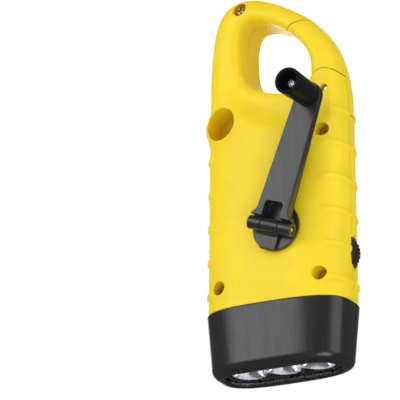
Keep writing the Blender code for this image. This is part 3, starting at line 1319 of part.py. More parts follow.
def make_spring():
    """A torsion spring: a leg against the gate, the coil and a hook into the rear shell."""
    low = -(SPRING_TURNS * SPRING_PITCH + 2 * SPRING_WIRE_RADIUS + GAP / 2)
    steps = 10
    points = []
    for share in (1, 0.5):
        radius = SPRING_COIL_RADIUS + SPRING_LEG * share
        points.append((radius * cos(SPRING_LEG_ANGLE), low, radius * sin(SPRING_LEG_ANGLE)))
    for i in range(SPRING_TURNS * steps + 1):
        angle = SPRING_LEG_ANGLE + 2 * pi * i / steps
        points.append((SPRING_COIL_RADIUS * cos(angle), low + SPRING_PITCH * i / steps,
                       SPRING_COIL_RADIUS * sin(angle)))
    x, y, z = points[-1]
    points.append((x, y + SPRING_HOOK / 2, z))
    points.append((x, y + SPRING_HOOK, z))
    data = bpy.data.curves.new("gate_spring_path", "CURVE")
    data.dimensions = "3D"
    data.bevel_depth = SPRING_WIRE_RADIUS
    data.bevel_resolution = 1
    data.use_fill_caps = True
    path = data.splines.new("POLY")
    path.points.add(len(points) - 1)
    for point, place in zip(path.points, points):
        point.co = (GATE_PIVOT_X + place[0], place[1], GATE_PIVOT_Z + place[2], 1)
    curve = bpy.data.objects.new("gate_spring_path", data)
    CUTTERS.objects.link(curve)
    spring = as_mesh(curve, "gate_spring", PARTS, (0, 0, 0), ROOT)
    paint(spring, "steel", STEEL, 0.3, 1)


def make_rear_shell(cavity, core, slots):
    """The back half: crank bearing, knob well, screw recesses and posts for the gears."""
    shell = half_form("rear_shell", 1, Form(), HEAD_HEIGHT + GAP, GAP / 2, PARTS)
    cut(shell, cavity)
    deep = 2 * BODY_HALF_DEPTH
    fittings = disc_y("rear_fittings", WELL_X, WELL_Z, WELL_RADIUS + WELL_WALL,
                      WELL_FLOOR_Y - WELL_WALL, deep, 32, parent=ROOT)
    for name, (x, z) in SHELL_SCREWS.items():
        if z < CAVITY_TOP:
            join(fittings, disc_y(name + "_rear_boss", x, z, SCREW_BOSS_RADIUS, GAP, deep, 24,
                                  parent=ROOT))
    for name, (x, z) in PLATE_POSTS.items():
        join(fittings, disc_y(name + "_post", x, z, POST_RADIUS, PLATE_TOP_Y + GAP, deep, 20,
                              parent=ROOT))
    join(fittings, disc_y("crank_bearing", CRANK_X, CRANK_Z, JOURNAL_RADIUS + SHELL_WALL,
                          GEAR_TOP_Y + GAP, deep, 28, parent=ROOT))
    keep(fittings, core)
    join(shell, fittings)
    for name, (x, z) in SHELL_SCREWS.items():
        cut(shell,
            disc_y(name + "_recess", x, z, SCREW_RECESS_RADIUS, SCREW_SEAT_Y, deep, 24,
                   parent=ROOT),
            disc_y(name + "_hole", x, z, SCREW_SHANK_RADIUS + GAP, -RUN_OVER, deep, 16,
                   parent=ROOT))
    for name, (x, z) in PLATE_POSTS.items():
        cut(shell, disc_y(name + "_bore", x, z, PLATE_SCREW_RADIUS + GAP, 0,
                          PLATE_TOP_Y + PLATE_SCREW_LENGTH, 16, parent=ROOT))
    cut(shell,
        disc_y("crank_bore", CRANK_X, CRANK_Z, JOURNAL_RADIUS + GAP, 0, deep, 24, parent=ROOT),
        disc_y("well_bore", WELL_X, WELL_Z, WELL_RADIUS, WELL_FLOOR_Y, deep, 32, parent=ROOT),
        disc_y("tab_pin_bore", GATE_PIVOT_X, GATE_PIVOT_Z, GATE_PIN_RADIUS + GAP, 0, deep, 16,
               parent=ROOT))
    x = GATE_PIVOT_X + SPRING_COIL_RADIUS * cos(SPRING_LEG_ANGLE)
    z = GATE_PIVOT_Z + SPRING_COIL_RADIUS * sin(SPRING_LEG_ANGLE)
    cut(shell, disc_y("hook_bore", x, z, SPRING_WIRE_RADIUS + GAP, -RUN_OVER,
                      SPRING_HOOK + GAP, 12, parent=ROOT))
    cut_gate_room(shell, gate_back_zone, -RUN_OVER, deep)
    cut(shell, *slots)
    return paint(shell, "body_yellow", YELLOW, 0.35)


def make_front_shell(cavity, core, slots):
    """The solar half: seat of the panel, screw bosses, dish and room for the knob well."""
    shell = half_form("front_shell", -1, Form(), HEAD_HEIGHT + GAP, GAP / 2, PARTS)
    cut(shell, cavity)
    deep = 2 * BODY_HALF_DEPTH
    inside = BEZEL_SEAT - BEZEL_SEAT_PAD
    fittings = lofted("front_fittings",
                      [bezel_ring(-inside, -BEZEL_SEAT_MARGIN),
                       bezel_ring(-BEZEL_SEAT - GAP, -BEZEL_SEAT_MARGIN)], parent=ROOT)
    for name, (x, z) in SHELL_SCREWS.items():
        if z < CAVITY_TOP:
            join(fittings, disc_y(name + "_front_boss", x, z, SCREW_BOSS_RADIUS, -deep, -GAP, 24,
                                  parent=ROOT))
    keep(fittings, core)
    join(shell, fittings)
    for name, (x, z) in SHELL_SCREWS.items():
        cut(shell, disc_y(name + "_pilot", x, z, SCREW_SHANK_RADIUS + GAP, SCREW_TIP_Y - GAP,
                          RUN_OVER, 16, parent=ROOT))
    cut(shell,
        lofted("bezel_seat", [bezel_ring(-BEZEL_SEAT, -GAP), bezel_ring(-deep, -GAP)],
               parent=ROOT),
        prism("front_dish", dish_outline(), -deep, -DISH_FRONT_DEPTH, parent=ROOT),
        disc_y("well_room", WELL_X, WELL_Z, WELL_RADIUS + WELL_WALL + GAP,
               WELL_FLOOR_Y - WELL_WALL - GAP, RUN_OVER, 32, parent=ROOT))
    cut_gate_room(shell, gate_zone, -deep, RUN_OVER)
    cut(shell, *slots)
    return paint(shell, "body_yellow", YELLOW, 0.35)


def make_shell_screws():
    for name, (x, z) in SHELL_SCREWS.items():
        screw = screw_body("shell_screw_" + name, x, z, SCREW_SEAT_Y + GAP, SCREW_TIP_Y,
                           SCREW_SHANK_RADIUS, SCREW_HEAD_RADIUS, SCREW_HEAD_HEIGHT)
        paint(screw, "brass_screw", BRASS, 0.3, 1)


# Places that follow from the sizes
ARM_LENGTH = hypot(WELL_X - CRANK_X, WELL_Z - CRANK_Z) - HINGE_OFFSET
KNOB_BASE_Y = HINGE_Y + ARM_RISE + ARM_THICKNESS + GAP
KNOB_TIP_Y = KNOB_BASE_Y + KNOB_LENGTH
WELL_FLOOR_Y = 2 * HINGE_Y - KNOB_TIP_Y - WELL_ROOM
FIRST_GEAR_PLACE = next_axis(CRANK_X, CRANK_Z, FIRST_GEAR_ANGLE, CRANK_TEETH, PINION_TEETH)
SECOND_GEAR_PLACE = next_axis(*FIRST_GEAR_PLACE, SECOND_GEAR_ANGLE, WHEEL_GEAR_TEETH,
                              PINION_TEETH)
ROTOR_PLACE = next_axis(*SECOND_GEAR_PLACE, ROTOR_ANGLE, WHEEL_GEAR_TEETH, PINION_TEETH)
BATTERY_Z = ROTOR_PLACE[1] + GENERATOR_RADIUS + BATTERY_ROOM + BATTERY_RADIUS
PARTING_Y = (BEZEL_FRONT - KNOB_TIP_Y) / 2

ROOT = empty("flashlight", (0, PARTING_Y, 0))


def main():
    cavity = as_cutter(cavity_form("cavity", HEAD_HEIGHT - RUN_OVER, CAVITY_TOP))
    core = as_cutter(whole_form("core", Form(CORE_INSET), HEAD_HEIGHT + GAP, CUTTERS, False))
    slots = wheel_slots()
    make_head()
    make_lamp()
    make_boards()
    make_gears()
    make_switch()
    make_solar_panel()
    make_crank()
    make_gate()
    make_rear_shell(cavity, core, slots)
    make_front_shell(cavity, core, slots)
    make_shell_screws()
    for item in CUTTERS.objects:
        as_cutter(item)


main()
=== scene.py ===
"""Looks for the hand crank flashlight: visible pieces, materials, stage, lamps and camera.

Laid out as a Blender add-on and run as a script. Metres, +Z up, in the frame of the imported
CAD model. The flashlight stands on its black head; the solar panel faces -Y and the crank +Y.
"""

from math import atan2, copysign, cos, hypot, pi, radians, sin, sqrt

import bmesh
import bpy
import numpy as np
from bpy.props import FloatProperty, FloatVectorProperty, IntProperty, PointerProperty
from mathutils import Matrix, Vector


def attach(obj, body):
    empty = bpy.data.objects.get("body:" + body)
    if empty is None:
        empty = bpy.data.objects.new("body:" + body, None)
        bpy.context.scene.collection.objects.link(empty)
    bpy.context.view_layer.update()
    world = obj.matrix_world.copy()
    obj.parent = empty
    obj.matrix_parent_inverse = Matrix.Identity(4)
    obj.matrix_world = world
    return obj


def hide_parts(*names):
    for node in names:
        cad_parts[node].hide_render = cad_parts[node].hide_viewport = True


bl_info = {
    "name": "Hand crank flashlight",
    "version": (1, 0, 0),
    "blender": (4, 5, 0),
    "location": "3D Viewport > Sidebar > Flashlight",
    "description": "Builds the visible pieces and materials of a hand crank flashlight",
    "category": "Object",
}

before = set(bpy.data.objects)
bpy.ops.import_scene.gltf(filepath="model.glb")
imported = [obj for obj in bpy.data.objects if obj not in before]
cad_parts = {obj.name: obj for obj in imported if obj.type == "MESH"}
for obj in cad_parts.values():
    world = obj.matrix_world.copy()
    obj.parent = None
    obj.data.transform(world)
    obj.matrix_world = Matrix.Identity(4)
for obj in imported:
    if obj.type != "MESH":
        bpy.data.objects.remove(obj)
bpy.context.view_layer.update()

# Sizes of the frame that the pieces must fit
BODY_HEIGHT = 0.135
HALF_WIDTH = 0.0261
BODY_HALF_DEPTH = 0.0133
SHELL_WALL = 0.0020
GAP = 0.0003
RUN_OVER = 0.0010
ROUNDING_POWER = 3.0
DEEP = 2 * BODY_HALF_DEPTH
CAVITY_TOP = BODY_HEIGHT * 0.6193
CORE_INSET = 0.0008
PARTING_Y = -0.01090

HEAD_HEIGHT = 0.0222
HEAD_PROUD = 0.0004
HEAD_TAPER = 0.0014
HEAD_BOTTOM_RADIUS = 0.0034
HEAD_WALL = 0.0022
HEAD_FLOOR = 0.0030
HEAD_LIP = 0.0010
SPIGOT_WALL = 0.0012
SPIGOT_HEIGHT = 0.0030
WINDOW_LENGTH = HALF_WIDTH * 1.609
WINDOW_WIDTH = BODY_HALF_DEPTH * 1.128
LENS_THICKNESS = 0.0015
LENS_MARGIN = 0.0013
LENS_LENGTH = WINDOW_LENGTH + 2 * LENS_MARGIN
LENS_WIDTH = WINDOW_WIDTH + 2 * LENS_MARGIN
CUP_PITCH = HALF_WIDTH * 0.490
CUP_RADIUS = HALF_WIDTH * 0.234
CUP_THROAT = 0.0018
CUP_PLACES = (-CUP_PITCH, 0, CUP_PITCH)
REFLECTOR_HEIGHT = 0.0098
REFLECTOR_LOW = HEAD_LIP + LENS_THICKNESS + 2 * GAP
REFLECTOR_TOP = REFLECTOR_LOW + REFLECTOR_HEIGHT
LED_RADIUS = 0.0015
LED_HEIGHT = 0.0045
LED_CHIP_RADIUS = LED_RADIUS * 0.55
LED_CHIP_PLACE = LED_RADIUS * 1.6

LOOP_HALF_DEPTH = 0.0088
LOOP_ROUNDING = 0.0095
LOOP_START = BODY_HEIGHT * 0.5926
LOOP_FULL = BODY_HEIGHT * 0.8741
DISH_FRONT_DEPTH = 0.0084
DISH_BACK_OUT = 0.0055
DISH_BACK_IN = 0.0030
HOLE_EDGE_FRONT = 0.0008
HOLE_EDGE_BACK = 0.0030
GATE_PIVOT = np.array((HALF_WIDTH * -0.751, BODY_HEIGHT * 0.7207))
GATE_HUB_RADIUS = 0.0054
GATE_TAB_RADIUS = 0.0070
GATE_ROOT_RADIUS = 0.0094
GATE_REACH = 0.0276
GATE_SWING = radians(30.0)
GATE_TAIL_SLOPE = radians(21.0)
GATE_NOSE_ANGLE = radians(105)
GATE_HUB_END = radians(25)
TAB_START = radians(140)
TAB_END = radians(50)
BEYOND = HALF_WIDTH * -1.2
GATE_PIN_RADIUS = 0.0010
GATE_PIN_LENGTH = 0.0150
SPRING_ROOM = 0.0029
SPRING_DEEP = 0.0036
SPRING_LEG_REACH = SPRING_ROOM * 2.7
SPRING_SLOT_START = radians(54)
SPRING_SLOT_END = radians(104)

RIB_FIRST_Z = BODY_HEIGHT * 0.2148
RIB_PITCH = BODY_HEIGHT * 0.0896
RIB_COUNT = 5
RIB_HALF_HEIGHT = 0.0009
RIB_RAMP = 0.0008
RIB_START_X = HALF_WIDTH * 0.728
RIB_START_WELL_SIDE = HALF_WIDTH * 0.820
RIB_FADE = 0.0012

CRANK_X = -0.0043
CRANK_Z = BODY_HEIGHT * 0.3552
CRANK_TILT = radians(-19.0)
HUB_RADIUS = 0.0086
HUB_DISC = 0.0014
HUB_EDGE = 0.0003
HINGE_Y = 0.0177
HINGE_OFFSET = 0.0007
KNUCKLE_RADIUS = 0.0024
BARREL_LENGTH = 0.0167
KNUCKLE_CENTRE_WIDTH = 0.0064
TONGUE_WIDTH = 0.0058
TONGUE_LENGTH = 0.0034
TONGUE_END = HUB_RADIUS * 0.985
TONGUE_DROP = 0.0008
TONGUE_LIP = 0.0012
JOURNAL_RADIUS = 0.0030
SHAFT_RADIUS = 0.0020
SHAFT_SCREW_RADIUS = 0.0009
HINGE_PIN_RADIUS = 0.0009
ARM_RISE = 0.0002
ARM_THICKNESS = 0.0025
ARM_ROOT_DROP = 0.0014
ARM_START = 0.0025
ARM_SHOULDER = 0.0075
ARM_SHOULDER_END = ARM_START * 1.3
ARM_ROOT_WIDTH = 0.0120
ARM_FLARE_SHARE = 0.35
ARM_FLARE_MIDDLE = KNUCKLE_RADIUS * 1.7
ARM_FLARE_END = KNUCKLE_RADIUS * 2.2
ARM_WEB_START = ARM_START * 0.4
ARM_WEB_END = ARM_START * 1.6
ARM_WEB_SHARE = 0.8
ARM_UNDER_EDGE = 0.4
ARM_TIP_RADIUS = 0.0046
ARM_WINDOW_END = 0.0081
ARM_WINDOW_RADIUS = 0.0014
KNOB_RADIUS = 0.0047
KNOB_LENGTH = 0.0160
KNOB_WALL = 0.0010
KNOB_FILLET = 0.0008
KNOB_TAPER = 0.0004
KNOB_CUP_DEPTH = 0.0051
KNOB_SCREW_RADIUS = 0.0011
KNOB_SCREW_HEAD_RADIUS = 0.0017
WELL_X = HALF_WIDTH * 0.705
WELL_Z = BODY_HEIGHT * 0.6607
WELL_RADIUS = 0.0059
WELL_WALL = 0.0012
WELL_BULGE_RADIUS = 0.0088
WELL_ROOM = 0.0006
GEAR_TOP_Y = 0.0092
GEAR_THICKNESS = 0.0020

BEZEL_HALF_WIDTH = HALF_WIDTH * 0.6437
BEZEL_BOTTOM_Z = BODY_HEIGHT * 0.2104
BEZEL_TOP_Z = BODY_HEIGHT * 0.5644
BEZEL_ARCH = 0.0043
BEZEL_FRONT = 0.0149
BEZEL_CORNER = 0.0022
BEZEL_BEVEL = 0.0014
BEZEL_BEVEL_POWER = 1.3
BEZEL_SEAT = 0.0110
BEZEL_SEAT_PAD = 0.0012
BEZEL_SEAT_MARGIN = 0.0008
BEZEL_LIP = 0.0009
CELL_HALF_WIDTH = HALF_WIDTH * 0.4521
CELL_BOTTOM_Z = BODY_HEIGHT * 0.2578
CELL_TOP_Z = BODY_HEIGHT * 0.5348
CELL_CORNER = 0.0018
CELL_MARGIN = 0.0013
CELL_COVER = 0.0009
PANEL_BACK = -BEZEL_SEAT - GAP
PANEL_LIP = BEZEL_LIP - BEZEL_FRONT

WHEEL_RADIUS = 0.0072
WHEEL_X = WHEEL_RADIUS - WELL_X - WELL_BULGE_RADIUS
WHEEL_Z = 0.0406
WHEEL_THICKNESS = 0.0046
WHEEL_FRONT_Y = -0.0044
WHEEL_SHAFT_RADIUS = 0.0012
WHEEL_SHAFT = 0.0018
SLOT_HALF_HEIGHT = 0.0070
SLOT_HALF_WIDTH = 0.0030
SLOT_DEPTH = 0.0018

SCREW_SHANK_RADIUS = 0.0011
SCREW_HEAD_RADIUS = 0.0021
SCREW_HEAD_HEIGHT = 0.0016
SCREW_RECESS_RADIUS = 0.0025
SCREW_BOSS_RADIUS = 0.0036
SCREW_SEAT_Y = 0.0050
SCREW_TIP_Y = -0.0054
PAN_DOME_WIDTH = 0.96
PAN_DOME_FOOT = 0.62
PAN_EDGE = 0.55
CROSS_REACH = 0.58
CROSS_FLOOR = 0.45
CROSS_SLIMNESS = 0.26
SHELL_SCREWS = {
    "loop": (HALF_WIDTH * 0.480, BODY_HEIGHT * 0.9674),
    "shoulder": (HALF_WIDTH * -0.7356, BODY_HEIGHT * 0.6074),
    "lower_left": (HALF_WIDTH * -0.7203, 0.0304),
    "lower_right": (HALF_WIDTH * 0.7203, 0.0304),
}

# Stations across the loop, from the gate's foot over the top to the spine's foot, with x as a
# share of the half width and z as a share of the height
LOOP_OUTER_SHARES = (
    (-0.946, 0.7185), (-0.893, 0.7815), (-0.755, 0.8540), (-0.505, 0.9160),
    (-0.185, 0.9585), (0.150, 0.9895), (0.440, 1.0000), (0.690, 0.9850),
    (0.850, 0.9460), (0.930, 0.8820), (0.966, 0.8000), (0.972, 0.7259),
)
LOOP_HOLE_SHARES = (
    (-0.470, 0.7340), (-0.530, 0.7780), (-0.485, 0.8270), (-0.315, 0.8720),
    (-0.080, 0.9080), (0.150, 0.9290), (0.340, 0.9340), (0.440, 0.9230),
    (0.492, 0.8960), (0.503, 0.8550), (0.480, 0.8050), (0.400, 0.7700),
)
# The floor of the hole and the curved edge of the front hollow, in the same shares
HOLE_FLOOR_SHARES = ((-0.470, 0.7340), (-0.330, 0.7260), (-0.050, 0.7300),
                     (0.190, 0.7430), (0.320, 0.7560), (0.400, 0.7700))
DISH_SHARES = ((-1.10, 0.6420), (-0.620, 0.6420), (-0.160, 0.6550), (0.155, 0.6780),
               (0.440, 0.7150), (0.590, 0.7630), (0.690, 0.8160), (0.730, 0.8700),
               (0.700, 0.9300), (0.600, 1.1000))
STRAIGHT_TOP_SHARE = 0.607
MORPH_SHARES = (0.20, 0.417, 0.444, 0.563, 0.589, 0.70, 0.82, 0.92, 0.975, 1)

# Places that follow from the sizes
ARM_LENGTH = hypot(WELL_X - CRANK_X, WELL_Z - CRANK_Z) - HINGE_OFFSET
KNOB_BASE_Y = HINGE_Y + ARM_RISE + ARM_THICKNESS + GAP
KNOB_TIP_Y = KNOB_BASE_Y + KNOB_LENGTH
WELL_FLOOR_Y = 2 * HINGE_Y - KNOB_TIP_Y - WELL_ROOM
BODY_PLACE = Matrix.Translation((0, PARTING_Y, 0))
CRANK_PLACE = (Matrix.Translation((CRANK_X, PARTING_Y, CRANK_Z))
               @ Matrix.Rotation(CRANK_TILT, 4, "Y"))
HINGE_PLACE = CRANK_PLACE @ Matrix.Translation((0, 0, -HINGE_OFFSET))


def colour(name, description, default):
    return FloatVectorProperty(name=name, description=description, default=default, size=3,
                               subtype="COLOR", min=0, max=1)


class FlashlightColours(bpy.types.PropertyGroup):
    """Colours of the plastics, the metals, the solar cell and the floor."""
    body: colour("Body", "Colour of the two shells and the gate", (0.930, 0.695, 0.016))
    head: colour("Head", "Colour of the head and the bezel", (0.016, 0.016, 0.017))
    crank: colour("Crank", "Colour of the hub and the arm", (0.016, 0.016, 0.017))
    knob: colour("Knob", "Colour of the knob and the thumbwheel", (0.009, 0.009, 0.009))
    cell: colour("Cell", "Colour of the solar cell's strips", (0.250, 0.170, 0.075))
    cell_line: colour("Cell line", "Colour between the strips", (0.660, 0.470, 0.210))
    # The screws' orange is painted light: it stands in for yellow light bounced onto the screws from
    # the recess walls
    screw: colour("Shell screw", "Colour of the shell screws", (0.800, 0.500, 0.200))
    floor: colour("Floor", "Colour of the floor", (0.800, 0.800, 0.790))


class FlashlightSizes(bpy.types.PropertyGroup):
    """Sizes of the finish that a user might change."""
    edge: FloatProperty(name="Edge softness", description="Radius seen on a moulded edge",
                        default=0.0002, min=0, max=0.001, unit="LENGTH")
    grain: FloatProperty(name="Grain", description="Size of the moulded plastic's fine grain",
                         default=0.0003, min=0.00005, max=0.002, unit="LENGTH")
    rib_proud: FloatProperty(name="Rib height", description="How far a grip rib stands proud",
                             default=0.0006, min=0, max=0.002, unit="LENGTH")
    arm_edge: FloatProperty(name="Arm edge", description="Width of the arm's rounded edge",
                            default=0.0003, min=0.0001, max=0.001, unit="LENGTH")
    wheel_teeth: IntProperty(name="Wheel ribs", description="Ribs round the thumbwheel",
                             default=30, min=8, max=60)
    wheel_rib: FloatProperty(name="Wheel rib", description="Depth between the wheel's ribs",
                             default=0.0003, min=0, max=0.001, unit="LENGTH")
    cell_strips: IntProperty(name="Cell strips", description="Strips of the solar cell",
                             default=10, min=2, max=30)
    cell_line: FloatProperty(name="Cell line", description="Width of the line between strips",
                             default=0.0003, min=0.0001, max=0.001, unit="LENGTH")


class FlashlightStage(bpy.types.PropertyGroup):
    """Camera, lamps and floor."""
    distance: FloatProperty(name="Camera distance", description="From the camera to its aim",
                            default=4.0, min=0.2, max=10, unit="LENGTH")
    view: FloatProperty(name="Field width", description="Width of the field at the aim",
                        default=0.1350, min=0.05, max=1, unit="LENGTH")
    key: FloatProperty(name="Key lamp", description="Power of the soft lamp at the upper left",
                       default=1.50, min=0, max=100, unit="POWER")
    side: FloatProperty(name="Side lamp", description="Power of the soft lamp at the right",
                        default=1.15, min=0, max=100, unit="POWER")
    low: FloatProperty(name="Low lamp", description="Power of the fill lamp from below",
                       default=1.2, min=0, max=100, unit="POWER")
    front: FloatProperty(name="Front lamp", description="Power of the lamp at the solar side",
                         default=1.6, min=0, max=100, unit="POWER")
    room: FloatProperty(name="Room light", description="Strength of the even room light",
                        default=0.74, min=0, max=1)
    mirrored: FloatProperty(name="Room in mirrors", default=0.08, min=0, max=1,
                            description="Strength of the upper room as glossy faces show it")
    floor: FloatProperty(name="Floor", description="Width of the floor", default=3.0, min=0.5,
                         max=20, unit="LENGTH")


def colours():
    return bpy.context.scene.flashlight_colours


def sizes():
    return bpy.context.scene.flashlight_sizes


def stage():
    return bpy.context.scene.flashlight_stage


# Mesh helpers

def added(name, data):
    """A new object in the scene."""
    item = bpy.data.objects.new(name, data)
    bpy.context.scene.collection.objects.link(item)
    return item


def finished(bm, name):
    """Turns the bmesh into an object of the scene."""
    bmesh.ops.remove_doubles(bm, verts=bm.verts, dist=GAP * 1e-3)
    bmesh.ops.recalc_face_normals(bm, faces=bm.faces)
    mesh = bpy.data.meshes.new(name)
    bm.to_mesh(mesh)
    bm.free()
    return added(name, mesh)


def boolean(item, operation, *others):
    for other in others:
        step = item.modifiers.new(other.name, "BOOLEAN")
        step.operation = operation
        step.solver = "EXACT"
        step.object = other


def cut(item, *cutters):
    boolean(item, "DIFFERENCE", *cutters)


def join(item, *others):
    boolean(item, "UNION", *others)


def applied(item, place=None):
    """Fixes the modifiers in the mesh, removes the pieces they used and puts it in place."""
    bpy.context.view_layer.update()
    graph = bpy.context.evaluated_depsgraph_get()
    mesh = bpy.data.meshes.new_from_object(item.evaluated_get(graph))
    used = [step.object for step in item.modifiers if step.type == "BOOLEAN"]
    if not mesh.vertices:
        raise RuntimeError(item.name + " came out empty")
    item.modifiers.clear()
    item.data = mesh
    if place is not None:
        mesh.transform(place)
    for other in used:
        bpy.data.objects.remove(other, do_unlink=True)
    return item


def smooth(item):
    item.data.shade_smooth()
    item.data.set_sharp_from_angle(angle=radians(30))


def dressed(item, place, *looks):
    """Fixes the piece's shape, puts it in place and gives it its materials."""
    applied(item, place)
    item.data.materials.clear()
    for look in looks:
        item.data.materials.append(look)
    smooth(item)
    return item


def present(item, body, node):
    """Makes the piece ride on its body and stand for the CAD node."""
    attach(item, body)
    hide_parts(node)


def ring_points(radius, segments, start=0, sweep=2 * pi):
    count = segments if sweep == 2 * pi else segments + 1
    return [(radius * cos(start + sweep * i / segments), radius * sin(start + sweep * i / segments))
            for i in range(count)]


def quarter(steps):
    """Angles of a quarter turn, both ends included."""
    return [pi / 2 * i / steps for i in range(steps + 1)]


def pulled(name, ring, move):
    """A closed ring of points pulled along a vector into a solid."""
    bm = bmesh.new()
    face = bm.faces.new([bm.verts.new(point) for point in ring])
    made = bmesh.ops.extrude_face_region(bm, geom=[face])["geom"]
    bmesh.ops.translate(bm, verts=[v for v in made if isinstance(v, bmesh.types.BMVert)], vec=move)
    return finished(bm, name)


def prism(name, outline, y_low, y_high):
    return pulled(name, [(x, y_low, z) for x, z in outline], (0, y_high - y_low, 0))


def slab(name, outline, z_low, z_high):
    return pulled(name, [(x, y, z_low) for x, y in outline], (0, 0, z_high - z_low))


def disc_y(name, x, z, radius, y_low, y_high, segments=48):
    outline = [(x + px, z + pz) for px, pz in ring_points(radius, segments)]
    return prism(name, outline, y_low, y_high)


def rod_x(name, x_low, x_high, y, z, radius, segments=48):
    ring = [(x_low, y + py, z + pz) for py, pz in ring_points(radius, segments)]
    return pulled(name, ring, (x_high - x_low, 0, 0))


def block(name, low, high):
    ring = [(low[0], low[1], low[2]), (high[0], low[1], low[2]),
            (high[0], high[1], low[2]), (low[0], high[1], low[2])]
    return pulled(name, ring, (0, 0, high[2] - low[2]))


def skin(bm, lines, closed=True):
    """Faces between neighbouring lines of vertices; a line of one vertex is a pole."""
    for low, high in zip(lines[:-1], lines[1:]):
        count = max(len(low), len(high))
        for i in range(count if closed else count - 1):
            k = (i + 1) % count
            face = [low[i % len(low)], low[k % len(low)], high[k % len(high)], high[i % len(high)]]
            bm.faces.new(dict.fromkeys(face))


def lofted(name, rings):
    """Joins rings of equal count one after another and caps both ends."""
    bm = bmesh.new()
    lines = [[bm.verts.new(point) for point in ring] for ring in rings]
    skin(bm, lines)
    bm.faces.new(lines[0])
    bm.faces.new(lines[-1])
    return finished(bm, name)


def bevelled(name, ring, low, high, edge):
    """A plate or pin with small bevels; ring(level, inset) gives its outline."""
    return lofted(name, [ring(low, edge), ring(low + edge, 0), ring(high - edge, 0),
                         ring(high, edge)])


def turned(name, profile, segments, x, z, axis="Y"):
    """A profile of (radius, height) points turned about an axis along Y, or along Z."""
    bm = bmesh.new()
    rows = []
    for radius, height in profile:
        row = []
        for px, pz in (ring_points(radius, segments) if radius else [(0, 0)]):
            if axis == "Y":
                row.append(bm.verts.new((x + px, height, z + pz)))
            else:
                row.append(bm.verts.new((x + px, pz, height)))
        rows.append(row)
    if profile[0][0]:
        rows.append(rows[0])
    skin(bm, rows)
    return finished(bm, name)


def rounded(points, radius, steps=4):
    """A profile or outline whose inner corners are rounded by the given radius."""
    made = [points[0]]
    for before, corner, after in zip(points[:-2], points[1:-1], points[2:]):
        a, b, c = Vector(before), Vector(corner), Vector(after)
        reach = min(radius, (a - b).length / 2, (c - b).length / 2)
        start = b + (a - b).normalized() * reach
        end = b + (c - b).normalized() * reach
        for i in range(steps + 1):
            t = i / steps
            made.append(tuple(start * (1 - t) ** 2 + b * 2 * t * (1 - t) + end * t ** 2))
    made.append(points[-1])
    return made


def drawn_in(outline, distance):
    """A closed outline moved inwards, its corners kept sharp."""
    made = []
    for before, point, after in zip(outline[-1:] + outline[:-1], outline,
                                    outline[1:] + outline[:1]):
        here = Vector(point)
        first = (here - Vector(before)).normalized()
        second = (Vector(after) - here).normalized()
        across = Vector((-first.y - second.y, first.x + second.x))
        reach = 2 / max(across.length_squared, 1)
        made.append(tuple(here + across * distance * reach))
    return made


# The form of the body and the loop

def blend_share(value, low, high):
    share = np.clip((value - low) / (high - low), 0, 1)
    return share * share * (3 - 2 * share)


def curve_through(points, steps):
    """Catmull-Rom curve through the points, with the given steps between neighbours."""
    pts = np.asarray(points, dtype=float)
    pts = np.vstack([2 * pts[0] - pts[1], pts, 2 * pts[-1] - pts[-2]])
    made = []
    for i in range(1, len(pts) - 2):
        a, b, c, d = pts[i - 1:i + 3]
        for k in range(steps):
            t = k / steps
            made.append(0.5 * (2 * b + (c - a) * t + (2 * a - 5 * b + 4 * c - d) * t * t
                               + (3 * b - a - 3 * c + d) * t ** 3))
    made.append(pts[-2])
    return np.array(made)


def shares_to_points(shares):
    return [(x * HALF_WIDTH, z * BODY_HEIGHT) for x, z in shares]


def subdivided(shares, times):
    """More shares between the given ones."""
    marks = np.arange(len(shares))
    return list(np.interp(np.linspace(0, len(shares) - 1, (len(shares) - 1) * times + 1),
                          marks, shares))


def pushed(line, distance):
    """Moves a polyline sideways, to its right-hand side seen from the front."""
    ahead = np.gradient(line, axis=0)
    ahead /= np.linalg.norm(ahead, axis=1)[:, None]
    return line + distance * np.stack([ahead[:, 1], -ahead[:, 0]], axis=1)


def distance_to(points, line):
    """Least distance from each point to a polyline, and the side on which the point lies."""
    best = np.full(len(points), np.inf)
    sign = np.ones(len(points))
    for a, b in zip(line[:-1], line[1:]):
        along = b - a
        share = np.clip(((points - a) @ along) / (along @ along), 0, 1)
        away = np.linalg.norm(points - (a + share[:, None] * along), axis=1)
        side = (points - a) @ np.array([along[1], -along[0]])
        nearer = away < best - 1e-12
        best = np.where(nearer, away, best)
        sign = np.where(nearer, np.where(side > 0, 1.0, -1.0), sign)
    return best, sign


def flank_x(z, side, inset):
    """Outer edge of the body below the loop, with the bulge round the knob well."""
    foot = LOOP_OUTER_SHARES[0 if side < 0 else -1]
    share = (z - HEAD_HEIGHT) / (foot[1] * BODY_HEIGHT - HEAD_HEIGHT)
    edge = HALF_WIDTH + (abs(foot[0]) * HALF_WIDTH - HALF_WIDTH) * share
    if side > 0:
        reach = WELL_BULGE_RADIUS ** 2 - (z - WELL_Z) ** 2
        if reach > 0:
            edge = max(edge, WELL_X + sqrt(reach))
    return side * (edge - inset)


# Shares across the loop's bar where the rows of points lie, closer together at its edges
BAR_SHARES = (0, 0.012, 0.05, 0.125, 0.25, 0.45, 0.70, 0.90, 0.97, 1)
FINE_BAR_SHARES = (0, 0.002, 0.006, 0.012, 0.022, 0.035, 0.05, 0.07, 0.095, 0.125, 0.16, 0.20,
                   0.25, 0.31, 0.38, 0.45, 0.53, 0.61, 0.70, 0.77, 0.83, 0.88, 0.92, 0.95,
                   0.97, 0.985, 0.995, 1)


